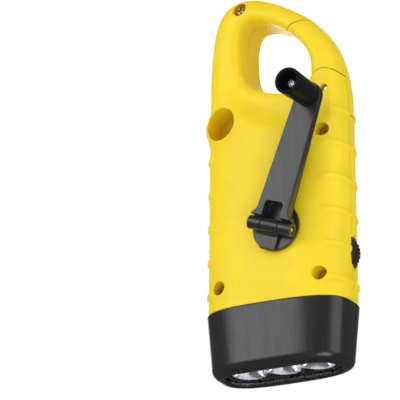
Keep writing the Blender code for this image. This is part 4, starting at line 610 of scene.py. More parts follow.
class Form:
    """The outer form of the body and loop, or a parallel form inside it."""

    def __init__(self, inset=0, fine=True):
        self.inset = inset
        self.bar = FINE_BAR_SHARES if fine else BAR_SHARES
        self.floor_steps = 24 if fine else 6
        steps = 8 if fine else 2
        self.outer = pushed(curve_through(shares_to_points(LOOP_OUTER_SHARES), steps), inset)
        self.hole = pushed(curve_through(shares_to_points(LOOP_HOLE_SHARES), steps), -inset)
        floor = curve_through(shares_to_points(HOLE_FLOOR_SHARES), self.floor_steps)
        self.floor = floor + np.array([0, -inset])
        dense = pushed(curve_through(shares_to_points(LOOP_OUTER_SHARES), 16), inset)
        heights = np.linspace(-BODY_HEIGHT, dense[0][1], 90)
        left = np.array([(flank_x(z, -1, inset), z) for z in heights])
        heights = np.linspace(dense[-1][1], -BODY_HEIGHT, 90)
        right = np.array([(flank_x(z, 1, inset), z) for z in heights])
        self.edge = np.vstack([left, dense[1:-1], right])
        self.rim = np.vstack([self.hole, self.floor[::-1][1:]])
        self.dish = curve_through(shares_to_points(DISH_SHARES), 6)

    def heights(self, points, side):
        """How far the face stands from the parting plane; side is 1 at the back."""
        points = np.asarray(points, dtype=float)
        up = blend_share(points[:, 1], LOOP_START, LOOP_FULL)
        depth = BODY_HALF_DEPTH + (LOOP_HALF_DEPTH - BODY_HALF_DEPTH) * up - self.inset
        reach = HALF_WIDTH + (LOOP_ROUNDING - HALF_WIDTH) * up - self.inset
        part = 1 - np.clip(distance_to(points, self.edge)[0] / reach, 0, 1)
        tall = depth * (1 - part ** ROUNDING_POWER) ** (1 / ROUNDING_POWER)
        if side > 0:
            away, sign = distance_to(points, self.dish)
            inside = blend_share(-away * sign, -DISH_BACK_OUT, DISH_BACK_IN)
            lowered = np.minimum(tall, LOOP_HALF_DEPTH - self.inset)
            tall = tall + (lowered - tall) * inside
        if self.inset:
            return tall
        edge = HOLE_EDGE_BACK if side > 0 else HOLE_EDGE_FRONT
        near = 1 - np.clip(distance_to(points, self.rim)[0] / edge, 0, 1)
        return tall - edge * (1 - np.sqrt(1 - near ** 2))


def rib_heights():
    return [RIB_FIRST_Z + RIB_PITCH * i for i in range(RIB_COUNT + 1)]


def rib_rows():
    reach = RIB_HALF_HEIGHT + RIB_RAMP
    steps = np.linspace(-reach, reach, 15)
    return [middle + step for middle in rib_heights()[:-1] for step in steps]


def rib_share(x, z):
    """How far a point stands proud as part of a rib, from 0 to 1."""
    bands = rib_heights() if x < 0 else rib_heights()[:-1]
    away = min(abs(z - middle) for middle in bands)
    up = 1 - float(blend_share(away, RIB_HALF_HEIGHT - RIB_RAMP / 2,
                               RIB_HALF_HEIGHT + RIB_RAMP))
    start = RIB_START_X if x < 0 else RIB_START_WELL_SIDE
    return up * float(blend_share(abs(x), start, start + RIB_FADE))


def plan_rows(form, z_low, z_high=None, ribs=True):
    """Rows of plan points for the body, and stations across the loop."""
    left_foot = form.outer[0] + np.outer(form.bar, form.hole[0] - form.outer[0])
    right_foot = form.outer[-1] + np.outer(form.bar, form.hole[-1] - form.outer[-1])
    picks = np.linspace(0, len(form.floor) - 1, form.floor_steps + 1).round().astype(int)
    top = np.vstack([left_foot, form.floor[picks][1:-1], right_foot[::-1]])
    straight_top = STRAIGHT_TOP_SHARE * BODY_HEIGHT
    if ribs:
        levels = [z_low] + [z for z in rib_rows() if z > z_low]
        morph = subdivided((0,) + MORPH_SHARES, 5)[1:]
    else:
        levels = list(np.linspace(z_low, straight_top, 7)[:-1])
        morph = MORPH_SHARES
    levels.append(straight_top)
    span = top[:, 0]
    share = (span - span[0]) / (span[-1] - span[0])

    def straight(z):
        left, right = flank_x(z, -1, form.inset), flank_x(z, 1, form.inset)
        return np.stack([left + (right - left) * share, np.full(len(span), z)], axis=1)

    rows = [straight(z) for z in levels]
    base = rows[-1]
    for part in morph:
        row = base + (top - base) * part
        row[0, 0] = flank_x(row[0, 1], -1, form.inset)
        row[-1, 0] = flank_x(row[-1, 1], 1, form.inset)
        rows.append(row)
    if z_high is not None:
        rows = [row for row in rows if row[0, 1] < z_high] + [straight(z_high)]
    stations = [o + np.outer(form.bar, h - o) for o, h in zip(form.outer, form.hole)]
    return rows, stations


def face_sheet(bm, form, side, rows, stations, level, ribs):
    """One face of the form as a grid of quads; returns its rows of vertices."""
    grid = []
    proud = sizes().rib_proud
    for row in rows:
        tall = form.heights(row, side)
        tall[0] = 0
        tall[-1] = 0
        line = []
        for i, ((x, z), up) in enumerate(zip(row, tall)):
            if ribs:
                raised = proud * rib_share(x, z)
                lean = max(1 - up / BODY_HALF_DEPTH, 0)
                x += copysign(raised * sqrt(lean), x)
                up += raised * (1 - lean) * (0 < i < len(row) - 1)
            line.append(bm.verts.new((x, side * (level + up), z)))
        grid.append(line)
    skin(bm, grid, False)
    lines = []
    for row in stations[1:-1]:
        tall = form.heights(row, side)
        tall[0] = 0
        lines.append([bm.verts.new((x, side * (level + up), z)) for (x, z), up in zip(row, tall)])
    if stations:
        count = len(form.bar)
        lines = [grid[-1][:count]] + lines + [grid[-1][::-1][:count]]
        skin(bm, lines, False)
    return grid, lines


def rim_loops(grid, lines):
    """Vertices along the outer edge and along the hole of one face."""
    count = len(lines[0])
    outer = [row[0] for row in grid] + [line[0] for line in lines[1:-1]]
    outer += [row[-1] for row in grid[::-1]]
    hole = [line[-1] for line in lines] + grid[-1][::-1][count:len(grid[-1]) - count]
    return outer, hole


def half_form(name, side, form, z_low, level):
    """A solid half of the body and loop, flat at the parting plane."""
    bm = bmesh.new()
    rows, stations = plan_rows(form, z_low)
    grid, lines = face_sheet(bm, form, side, rows, stations, level, True)
    outer, hole = rim_loops(grid, lines)
    floor = [bm.verts.new((v.co.x, side * level, v.co.z)) for v in hole]
    skin(bm, [hole, floor])
    bm.faces.new(grid[0])
    edges = []
    for ring in (outer, floor):
        for i in range(len(ring)):
            a, b = ring[i], ring[(i + 1) % len(ring)]
            edges.append(bm.edges.get((a, b)) or bm.edges.new((a, b)))
    bmesh.ops.triangle_fill(bm, use_beauty=True, edges=edges)
    return finished(bm, name)


def whole_form(name, form, z_low, ribs):
    """The body and loop as one closed solid, both faces."""
    bm = bmesh.new()
    rows, stations = plan_rows(form, z_low, ribs=ribs)
    loops = []
    for side in (1, -1):
        grid, lines = face_sheet(bm, form, side, rows, stations, 0, ribs)
        loops.append(rim_loops(grid, lines)[1])
        bm.faces.new(grid[0])
    skin(bm, loops)
    return finished(bm, name)


def cavity_form(name, z_low, z_high):
    """The hollow of the body between the shells, open below."""
    form = Form(SHELL_WALL, fine=False)
    bm = bmesh.new()
    rows = plan_rows(form, z_low, z_high, ribs=False)[0]
    for side in (1, -1):
        grid = face_sheet(bm, form, side, rows, [], 0, False)[0]
        bm.faces.new(grid[0])
        bm.faces.new(grid[-1])
    return finished(bm, name)


# Outlines of the gate and its room

def around(x, z, radius, start, end, steps):
    """Points of an arc in X and Z, angles from +X towards +Z."""
    return [(x + radius * cos(start + (end - start) * i / steps),
             z + radius * sin(start + (end - start) * i / steps)) for i in range(steps + 1)]


def gate_inner_line(clear):
    """The gate's edge at the hole, from its foot to its nose."""
    edge = pushed(curve_through(shares_to_points(LOOP_HOLE_SHARES), 4), clear + RUN_OVER / 2)
    reach = GATE_REACH + clear
    line = []
    for point, after in zip(edge[:-1], edge[1:]):
        away, further = hypot(*(point - GATE_PIVOT)), hypot(*(after - GATE_PIVOT))
        if GATE_ROOT_RADIUS < away < reach:
            line.append(tuple(point))
        if away < reach <= further:
            line.append(tuple(point + (after - point) * (reach - away) / (further - away)))
            break
    return line


def closed_above(inner, clear, foot_only):
    """The outer end of a gate zone, at the nose's arc or cut short above the foot."""
    if foot_only:
        return [(BEYOND, inner[-1][1])]
    across, up = inner[-1] - GATE_PIVOT
    nose = around(*GATE_PIVOT, GATE_REACH + clear, atan2(up, across), GATE_NOSE_ANGLE, 40)
    return nose[1:] + [(BEYOND, nose[-1][1])]


def gate_zone(clear, foot_only=False):
    """The gate's room seen from the front, with its round foot about the pivot."""
    inner = gate_inner_line(clear)[:8 if foot_only else None]
    foot = GATE_TAIL_SLOPE - pi / 2
    hub = around(*GATE_PIVOT, GATE_HUB_RADIUS + clear, foot, GATE_HUB_END, 24)
    tail = hub[0][1] - (hub[0][0] - BEYOND) * sin(GATE_TAIL_SLOPE) / cos(GATE_TAIL_SLOPE)
    return hub + inner + closed_above(inner, clear, foot_only) + [(BEYOND, tail)]


def tab_arc(clear):
    """The upper edge of the rear shell's round tab, which holds the pin."""
    return around(*GATE_PIVOT, GATE_TAB_RADIUS + clear, TAB_START, TAB_END, 32)


def tab_zone(clear):
    """The room under the gate on the back, where the tab lies."""
    arc = tab_arc(clear)
    inner = gate_inner_line(0)[0]
    low = HOLE_FLOOR_SHARES[0][1] * BODY_HEIGHT - GATE_REACH
    return [(BEYOND, arc[0][1])] + arc + [inner, (inner[0], low), (BEYOND, low)]


def gate_back_zone(clear, foot_only=False):
    """The gate's room on the back, above the round tab."""
    inner = gate_inner_line(clear)[:8 if foot_only else None]
    arc = tab_arc(GAP - clear)
    return inner + closed_above(inner, clear, foot_only) + [(BEYOND, arc[0][1])] + arc


def swung(outline, angle):
    """An outline turned about the gate's pivot, towards the hole."""
    turn = np.array([[cos(angle), -sin(angle)], [sin(angle), cos(angle)]])
    return [tuple(point) for point in GATE_PIVOT + (np.array(outline) - GATE_PIVOT) @ turn]


def gate_room(zone, y_low, y_high):
    """Cutters for the room that the gate and its foot sweep through as it opens."""
    return [prism("gate_room", swung(zone(GAP * (1 - 0.1 * i), i > 0), GATE_SWING * i / 4),
                  y_low, y_high) for i in range(5)]


def dish_outline():
    """The front hollow round the hole, bounded by a crisp curved step."""
    line = curve_through(shares_to_points(DISH_SHARES), 8)
    beyond = HALF_WIDTH * -1.3
    return [tuple(point) for point in line] + [(beyond, BODY_HEIGHT * 1.1), (beyond, line[0][1])]


# Materials

class Nodes:
    """Adds nodes to a node tree and links them."""

    def __init__(self, tree):
        self.tree = tree

    def add(self, kind, inputs=None, **settings):
        node = self.tree.nodes.new("ShaderNode" + kind)
        for key, value in settings.items():
            setattr(node, key, value)
        for key, value in (inputs or {}).items():
            self.set(node, key, value)
        return node

    def set(self, node, key, value):
        socket = node.inputs[key]
        if isinstance(value, bpy.types.NodeSocket):
            self.tree.links.new(value, socket)
        else:
            socket.default_value = value

    def math(self, operation, *values):
        return self.add("Math", dict(enumerate(values)), operation=operation).outputs[0]


class Look(Nodes):
    """Builds one node material."""

    def __init__(self, name):
        self.material = bpy.data.materials.new(name)
        self.material.use_nodes = True
        super().__init__(self.material.node_tree)
        self.shader = self.tree.nodes["Principled BSDF"]

    def shade(self, **values):
        for key, value in values.items():
            self.set(self.shader, key.replace("_", " "), value)

    def coords(self, scale=(1, 1, 1)):
        place = self.add("TexCoord").outputs["Object"]
        return self.add("Mapping", {"Vector": place, "Scale": scale}).outputs["Vector"]

    def noise(self, size, detail=2, rough=0.5, stretch=(1, 1, 1)):
        return self.add("TexNoise", {"Vector": self.coords(stretch), "Scale": 1 / size,
                                     "Detail": detail, "Roughness": rough}).outputs["Fac"]

    def ranged(self, value, low, high, start=0.3, end=0.7):
        return self.add("MapRange", {"Value": value, "From Min": start, "From Max": end,
                                     "To Min": low, "To Max": high}).outputs["Result"]

    def mixed(self, share, first, second):
        """Two colours mixed; a Mix node has its colours at 6 and 7 and their mix at 2."""
        first, second = [value if isinstance(value, bpy.types.NodeSocket) else (*value[:3], 1)
                         for value in (first, second)]
        return self.add("Mix", {0: share, 6: first, 7: second}, data_type="RGBA").outputs[2]

    def mottled(self, share, color, dark, light):
        """A colour that drifts between a darker and a lighter tint of itself."""
        return self.mixed(self.ranged(share, 0, 1), tinted(color, dark), tinted(color, light))

    def bumped(self, height, distance, strength=1.0, normal=None):
        inputs = {"Height": height, "Distance": distance, "Strength": strength}
        if normal is not None:
            inputs["Normal"] = normal
        return self.add("Bump", inputs).outputs["Normal"]

    def soft_edges(self, radius):
        return self.add("Bevel", {"Radius": radius}, samples=6).outputs["Normal"]


def tinted(color, factor):
    return tuple(min(channel * factor, 1) for channel in color[:3])


def plastic(name, color, roughness, grain=0.0000025, specular=0.5, glow=0.0):
    """Moulded plastic with fine grain, slow colour variation and faint handling marks."""
    made = bpy.data.materials.get(name)
    if made:
        return made
    look = Look(name)
    slow = look.noise(0.018, 3, 0.55)
    fine = look.noise(sizes().grain, 2, 0.6)
    marks = look.noise(0.0022, 4, 0.65, (1, 1, 0.12))
    speck = look.ranged(look.noise(0.0009, 2), 0, 0.10, 0.62, 0.75)
    base = look.mottled(slow, color, 0.94, 1.05)
    look.shade(Base_Color=look.mixed(speck, base, tinted(color, 0.82)),
               Roughness=look.ranged(marks, roughness - 0.05, roughness + 0.05),
               Specular_IOR_Level=specular, Subsurface_Weight=glow, Subsurface_Scale=0.002,
               Subsurface_Radius=(1, 0.5, 0.05),
               Normal=look.bumped(fine, grain * 8, 0.35, look.soft_edges(sizes().edge)))
    return look.material


def metal(name, color, roughness, brush=(1, 1, 1)):
    """Plated or drawn metal with fine brushing and slight tarnish."""
    made = bpy.data.materials.get(name)
    if made:
        return made
    look = Look(name)
    slow = look.noise(0.0016, 3, 0.6)
    lines = look.noise(0.00022, 2, 0.5, brush)
    look.shade(Base_Color=look.mottled(slow, color, 0.80, 1.05), Metallic=1.0,
               Roughness=look.ranged(lines, roughness * 0.75, roughness * 1.35),
               Normal=look.bumped(lines, 0.00001, 0.35, look.soft_edges(sizes().edge / 2)))
    return look.material


def clear(name, tint, roughness=0.02, index=1.49):
    """Clear moulded plastic with faint flow marks."""
    made = bpy.data.materials.get(name)
    if made:
        return made
    look = Look(name)
    flow = look.noise(0.004, 2, 0.5)
    haze = look.noise(0.0012, 3, 0.6)
    look.shade(Base_Color=look.mixed(look.ranged(flow, 0, 0.4), tint, tinted(tint, 0.97)),
               Transmission_Weight=1.0, IOR=index,
               Roughness=look.ranged(haze, roughness * 0.6, roughness * 1.6),
               Normal=look.bumped(flow, 0.00002, 0.25))
    return look.material


def yellow_plastic():
    return plastic("body_yellow_look", colours().body, 0.36, grain=0.0000022, specular=0.34,
                   glow=0.25)


def head_plastic():
    return plastic("head_plastic_look", colours().head, 0.26, grain=0.000004, specular=1)


def crank_plastic():
    return plastic("crank_grey_look", colours().crank, 0.30, grain=0.000003, specular=1)


def knob_plastic():
    return plastic("knob_black_look", colours().knob, 0.30, grain=0.000001, specular=0.12)


def wheel_plastic():
    return plastic("switch_plastic_look", tinted(colours().knob, 1.6), 0.34, grain=0.000003,
                   specular=1)


def steel():
    return metal("steel_look", (0.62, 0.62, 0.60), 0.26)


# Metal screws tinted orange; the orange is painted reflected light from the yellow recess round each
# screw, not the metal's own colour
def screw_metal_painted_bounce():
    return metal("shell_screw_look", colours().screw, 0.38)


def chrome():
    return metal("reflector_look", (0.86, 0.87, 0.88), 0.07)


def nylon():
    return plastic("gear_nylon_look", (0.80, 0.79, 0.74), 0.45)


def board():
    """Green circuit board with copper tracks under the solder mask."""
    look = Look("board_look")
    place = look.coords((1, 0.2, 1))
    tracks = look.add("TexBrick", {"Vector": place, "Scale": 260, "Mortar Size": 0.05,
                                   "Mortar Smooth": 0.3})
    lines = look.ranged(tracks.outputs["Fac"], 0, 1, 0.2, 0.8)
    look.shade(Base_Color=look.mixed(lines, (0.022, 0.150, 0.055), (0.055, 0.260, 0.095)),
               Roughness=look.ranged(look.noise(0.002, 3), 0.30, 0.45),
               Normal=look.bumped(lines, 0.00004, 0.5))
    return look.material


def sleeve():
    """Shrink sleeve of the cell, with a plain band."""
    look = Look("battery_look")
    wrinkles = look.noise(0.0012, 3, 0.6, (1, 1, 3))
    look.shade(Base_Color=look.mixed(look.ranged(look.noise(0.01), 0, 1), (0.08, 0.18, 0.46),
                                     (0.11, 0.24, 0.58)),
               Roughness=look.ranged(wrinkles, 0.28, 0.42),
               Normal=look.bumped(wrinkles, 0.00006, 0.4))
    return look.material


def winding():
    """Enamelled copper wire, wound in layers."""
    look = Look("coil_look")
    turns = look.add("TexWave", {"Vector": look.coords(), "Scale": 900, "Distortion": 0.4},
                     bands_direction="Y")
    look.shade(Base_Color=look.mixed(turns.outputs["Fac"], (0.42, 0.14, 0.05), (0.74, 0.32, 0.13)),
               Metallic=1.0, Roughness=look.ranged(look.noise(0.001), 0.28, 0.42),
               Normal=look.bumped(turns.outputs["Fac"], 0.0001, 0.8))
    return look.material


def cell_strip():
    """Amorphous silicon behind glass, brown with a faint vertical grain."""
    look = Look("solar_cell_look")
    color = colours().cell
    grain = look.noise(0.0005, 3, 0.6, (3, 1, 0.25))
    cloud = look.noise(0.009, 3, 0.6)
    base = look.mottled(cloud, color, 0.86, 1.12)
    look.shade(Base_Color=look.mixed(look.ranged(grain, 0, 0.35), base, tinted(color, 0.70)),
               Roughness=look.ranged(grain, 0.22, 0.34), Coat_Weight=0.4, Coat_Roughness=0.05)
    return look.material


def cell_contact():
    """The pale scribed line between two strips."""
    look = Look("solar_line_look")
    look.shade(Base_Color=look.mottled(look.noise(0.001, 3), colours().cell_line, 0.88, 1.08),
               Roughness=look.ranged(look.noise(0.0004), 0.30, 0.45))
    return look.material


def phosphor():
    """The pale yellow chip inside a white light-emitting diode."""
    look = Look("led_chip_look")
    look.shade(Base_Color=look.mixed(look.ranged(look.noise(0.0003, 3), 0, 1), (0.80, 0.70, 0.16),
                                     (0.92, 0.84, 0.34)),
               Roughness=look.ranged(look.noise(0.0002), 0.45, 0.60))
    return look.material


# Body, loop and gate

def shell_cutters():
    """The hollow, and the room for the thumbwheel and the thumb, shared by both shells."""
    middle = WHEEL_FRONT_Y + WHEEL_THICKNESS / 2
    half = WHEEL_THICKNESS / 2 + GAP
    room = disc_y("wheel_room", WHEEL_X, WHEEL_Z, WHEEL_RADIUS + GAP, middle - half,
                  middle + half, 96)
    leaf = []
    for turn in (1, -1):
        for i in range(24):
            share = turn * (-1 + i / 12)
            leaf.append((turn * SLOT_HALF_WIDTH * (1 - share ** 2), SLOT_HALF_HEIGHT * share))
    surface = flank_x(WHEEL_Z, -1, 0)
    rings = []
    for x, scale in ((surface + SLOT_DEPTH, 0.80), (surface + SLOT_DEPTH / 2, 0.94),
                     (surface - sizes().rib_proud - RUN_OVER, 1.1)):
        rings.append([(x, middle + y * scale, WHEEL_Z + z * scale) for y, z in leaf])
    cavity = cavity_form("cavity", HEAD_HEIGHT - RUN_OVER, CAVITY_TOP)
    return [cavity, room, lofted("thumb_hollow", rings)]


def make_shell(name, side, fittings, holes):
    """One half of the body: its hollow, then its fittings and bosses, then its holes."""
    shell = half_form(name + "_look", side, Form(), HEAD_HEIGHT + GAP, GAP / 2)
    cavity, room, hollow = shell_cutters()
    cut(shell, cavity)
    for x, z in SHELL_SCREWS.values():
        if z < CAVITY_TOP:
            join(fittings, disc_y("boss", x, z, SCREW_BOSS_RADIUS, *sorted((side * GAP, side * DEEP))))
    boolean(fittings, "INTERSECT",
            whole_form("core", Form(CORE_INSET, fine=False), HEAD_HEIGHT + GAP, False))
    join(shell, applied(fittings))
    cut(shell, *holes, room, hollow)
    present(dressed(shell, BODY_PLACE, yellow_plastic()), "body", name)


def make_rear_shell():
    fittings = disc_y("rear_fittings", WELL_X, WELL_Z, WELL_RADIUS + WELL_WALL,
                      WELL_FLOOR_Y - WELL_WALL, DEEP)
    join(fittings, disc_y("crank_bearing", CRANK_X, CRANK_Z, JOURNAL_RADIUS + SHELL_WALL,
                          GEAR_TOP_Y + GAP, DEEP))
    holes = []
    for x, z in SHELL_SCREWS.values():
        holes += [disc_y("recess", x, z, SCREW_RECESS_RADIUS, SCREW_SEAT_Y, DEEP, 64),
                  disc_y("screw_hole", x, z, SCREW_SHANK_RADIUS + GAP, -RUN_OVER, DEEP, 32)]
    holes += [disc_y("crank_bore", CRANK_X, CRANK_Z, JOURNAL_RADIUS + GAP, 0, DEEP),
              disc_y("well_bore", WELL_X, WELL_Z, WELL_RADIUS, WELL_FLOOR_Y, DEEP, 96),
              disc_y("tab_pin_bore", *GATE_PIVOT, GATE_PIN_RADIUS + GAP, 0, DEEP, 40)]
    make_shell("rear_shell", 1, fittings, holes + gate_room(gate_back_zone, -RUN_OVER, DEEP))


def panel_ring(y, inset, half_width, low, high, corner, arch, steps=12):
    """A ring round an upright panel with rounded corners and an arched top."""
    half, low, high, corner = half_width - inset, low + inset, high - inset, corner - inset / 2
    points = []
    for x, z, start in ((half - corner, low + corner, -pi / 2), (half - corner, high - corner, 0),
                        (corner - half, high - corner, pi / 2), (corner - half, low + corner, pi)):
        for angle in quarter(steps):
            points.append((x + corner * cos(start + angle), y, z + corner * sin(start + angle)))
        if start == 0:
            for i in range(1, 2 * steps):
                across = 1 - i / steps
                rise = arch * (1 - across ** 2)
                points.append(((half - corner) * across, y, high + rise))
    return points


def bezel_ring(y, inset):
    return panel_ring(y, inset, BEZEL_HALF_WIDTH, BEZEL_BOTTOM_Z, BEZEL_TOP_Z, BEZEL_CORNER,
                      BEZEL_ARCH)


def cell_ring(y, inset):
    return panel_ring(y, inset, CELL_HALF_WIDTH, CELL_BOTTOM_Z, CELL_TOP_Z, CELL_CORNER, 0)


def make_front_shell():
    fittings = lofted("front_fittings", [
        bezel_ring(BEZEL_SEAT_PAD - BEZEL_SEAT, -BEZEL_SEAT_MARGIN),
        bezel_ring(PANEL_BACK, -BEZEL_SEAT_MARGIN)])
    holes = [disc_y("pilot", x, z, SCREW_SHANK_RADIUS + GAP, SCREW_TIP_Y - GAP, RUN_OVER, 32)
             for x, z in SHELL_SCREWS.values()]
    holes += [lofted("bezel_seat", [bezel_ring(-BEZEL_SEAT, -GAP), bezel_ring(-DEEP, -GAP)]),
              prism("front_dish", dish_outline(), -DEEP, -DISH_FRONT_DEPTH),
              disc_y("well_room", WELL_X, WELL_Z, WELL_RADIUS + WELL_WALL + GAP,
                     WELL_FLOOR_Y - WELL_WALL - GAP, RUN_OVER)]
    make_shell("front_shell", -1, fittings, holes + gate_room(gate_zone, -DEEP, RUN_OVER))


def make_gate():
    gate = whole_form("gate_look", Form(), HEAD_HEIGHT + GAP, True)
    boolean(gate, "INTERSECT", prism("gate_keep", gate_zone(0), -DEEP, DEEP))
    leg = [tuple(GATE_PIVOT)]
    leg += around(*GATE_PIVOT, SPRING_LEG_REACH, SPRING_SLOT_START, SPRING_SLOT_END, 12)
    cut(gate,
        prism("gate_tab_room", tab_zone(GAP), -GAP / 2, DEEP),
        prism("gate_dish", dish_outline(), -DEEP, -DISH_FRONT_DEPTH),
        disc_y("gate_pin_bore", *GATE_PIVOT, GATE_PIN_RADIUS + GAP, -DEEP, DEEP, 40),
        disc_y("spring_pocket", *GATE_PIVOT, SPRING_ROOM, -SPRING_DEEP, RUN_OVER),
        prism("spring_slot", leg, -SPRING_DEEP, RUN_OVER))
    present(dressed(gate, BODY_PLACE, yellow_plastic()), "gate", "gate")


def make_gate_pin():
    edge = GATE_PIN_RADIUS / 4
    half = GATE_PIN_LENGTH / 2
    profile = [(0, half), (GATE_PIN_RADIUS - edge, half), (GATE_PIN_RADIUS, half - edge),
               (GATE_PIN_RADIUS, edge - half), (GATE_PIN_RADIUS - edge, -half), (0, -half)]
    pin = turned("gate_pin_look", profile, 48, *GATE_PIVOT)
    present(dressed(pin, BODY_PLACE, steel()), "body", "gate_pin")


# Head and lamp

def cross_ring(half_x, half_y, z, count=160):
    """A closed ring of the body's rounded cross-section at one height."""
    power = 2 / ROUNDING_POWER
    return [(half_x * copysign(abs(x) ** power, x), half_y * copysign(abs(y) ** power, y), z)
            for x, y in ring_points(1, count)]


def stadium(length, width, inset=0, segments=32):
    """The outline of a slot with round ends, about the axis of the body."""
    radius = width / 2
    reach = length / 2 - radius
    radius -= inset
    right = [(reach + x, y) for x, y in ring_points(radius, segments, -pi / 2, pi)]
    left = [(x - reach, y) for x, y in ring_points(radius, segments, pi / 2, pi)]
    return right + left


def at_height(outline, z):
    return [(x, y, z) for x, y in outline]


def make_head():
    half_x, half_y = HALF_WIDTH + HEAD_PROUD, BODY_HALF_DEPTH + HEAD_PROUD
    rings = []
    for angle in quarter(14):
        inset = HEAD_TAPER + HEAD_BOTTOM_RADIUS * (1 - sin(angle))
        z = HEAD_BOTTOM_RADIUS * (1 - cos(angle))
        rings.append(cross_ring(half_x - inset, half_y - inset, z))
    edge = sizes().edge
    rings.append(cross_ring(half_x, half_y, HEAD_HEIGHT - edge))
    rings.append(cross_ring(half_x - edge, half_y - edge, HEAD_HEIGHT))
    inner = SHELL_WALL + GAP
    for z in (HEAD_HEIGHT, HEAD_HEIGHT + SPIGOT_HEIGHT):
        rings.append(cross_ring(HALF_WIDTH - inner, BODY_HALF_DEPTH - inner, z))
    head = lofted("head_bezel_look", rings)
    wall = SHELL_WALL + GAP + SPIGOT_WALL
    low_x, low_y = half_x - HEAD_TAPER - HEAD_WALL, half_y - HEAD_TAPER - HEAD_WALL
    room = lofted("head_room", [cross_ring(low_x, low_y, HEAD_FLOOR),
                                cross_ring(HALF_WIDTH - wall, BODY_HALF_DEPTH - wall,
                                           HEAD_HEIGHT + SPIGOT_HEIGHT + RUN_OVER)])
    seat = 2 * (LENS_MARGIN + GAP)
    rebate = slab("lens_seat", stadium(WINDOW_LENGTH + seat, WINDOW_WIDTH + seat), HEAD_LIP,
                  HEAD_FLOOR + RUN_OVER)
    flare = HEAD_LIP / 2
    window = lofted("lens_hole", [
        at_height(stadium(WINDOW_LENGTH, WINDOW_WIDTH, -flare - RUN_OVER), -RUN_OVER),
        at_height(stadium(WINDOW_LENGTH, WINDOW_WIDTH), flare),
        at_height(stadium(WINDOW_LENGTH, WINDOW_WIDTH), HEAD_FLOOR + RUN_OVER)])
    cut(head, room, rebate, window)
    present(dressed(head, BODY_PLACE, head_plastic()), "body", "head_bezel")


def make_lens():
    def ring(z, inset):
        return at_height(stadium(LENS_LENGTH, LENS_WIDTH, inset), z)

    low = HEAD_LIP + GAP
    lens = bevelled("lens_look", ring, low, low + LENS_THICKNESS, LENS_THICKNESS / 6)
    look = clear("lens_glass", (0.97, 0.98, 0.99), 0.03, 1.12)
    present(dressed(lens, BODY_PLACE, look), "body", "lens")


def make_reflector():
    def ring(x, radius, z):
        return [(x + px, py, z) for px, py in ring_points(radius, 64)]

    reflector = slab("reflector_chrome_look", stadium(LENS_LENGTH, LENS_WIDTH), REFLECTOR_LOW,
                     REFLECTOR_TOP)
    steps = 14
    for x in CUP_PLACES:
        rings = [ring(x, CUP_THROAT, REFLECTOR_TOP + RUN_OVER)]
        for i in range(steps + 1):
            share = i / steps
            radius = CUP_THROAT + (CUP_RADIUS - CUP_THROAT) * sqrt(share)
            z = REFLECTOR_TOP - LED_RADIUS - (REFLECTOR_HEIGHT - LED_RADIUS) * share
            rings.append(ring(x, radius, z))
        rings.append(ring(x, CUP_RADIUS, REFLECTOR_LOW - RUN_OVER))
        cut(reflector, lofted("cup", rings))
    present(dressed(reflector, BODY_PLACE, chrome()), "body", "reflector")


def make_leds():
    low = REFLECTOR_TOP - LED_HEIGHT
    profile = [(0, REFLECTOR_TOP), (LED_RADIUS, REFLECTOR_TOP)]
    for angle in quarter(10)[:-1]:
        profile.append((LED_RADIUS * cos(angle), low + LED_RADIUS * (1 - sin(angle))))
    profile.append((0, low))
    for i, x in enumerate(CUP_PLACES):
        led = turned("led_%d_look" % (i + 1), profile, 48, x, 0, "Z")
        dressed(led, BODY_PLACE, clear("led_epoxy", (0.97, 0.96, 0.90), 0.06), phosphor())
        bm = bmesh.new()
        bm.from_mesh(led.data)
        made = bmesh.ops.create_cone(bm, cap_ends=True, segments=24, radius1=LED_CHIP_RADIUS,
                                     radius2=LED_CHIP_RADIUS, depth=LED_CHIP_RADIUS / 2)["verts"]
        bmesh.ops.translate(bm, verts=made, vec=(x, PARTING_Y, low + LED_CHIP_PLACE))
        for face in {face for vert in made for face in vert.link_faces}:
            face.material_index = 1
        bm.to_mesh(led.data)
        bm.free()
        present(led, "body", "led_%d" % (i + 1))


# Solar panel

def make_solar_bezel():
    rings = [bezel_ring(PANEL_BACK, 0), bezel_ring(BEZEL_BEVEL - BEZEL_FRONT, 0)]
    for share in (0.3, 0.6, 0.85, 1):
        level = BEZEL_BEVEL * (1 - share) - BEZEL_FRONT
        rings.append(bezel_ring(level, BEZEL_BEVEL * share ** BEZEL_BEVEL_POWER))
    bezel = lofted("solar_bezel_look", rings)
    inside = PANEL_BACK + RUN_OVER
    slope = BEZEL_LIP / 2
    opening = lofted("cell_opening", [cell_ring(inside, 0), cell_ring(PANEL_LIP, 0),
                                      cell_ring(-BEZEL_FRONT - RUN_OVER, -slope - RUN_OVER)])
    pocket = lofted("cell_pocket", [cell_ring(inside, -CELL_MARGIN - GAP),
                                    cell_ring(PANEL_LIP, -CELL_MARGIN - GAP)])
    cut(bezel, opening, pocket)
    look = plastic("bezel_plastic_look", colours().head, 0.34, grain=0.000003, specular=1)
    present(dressed(bezel, BODY_PLACE, look), "body", "solar_bezel")


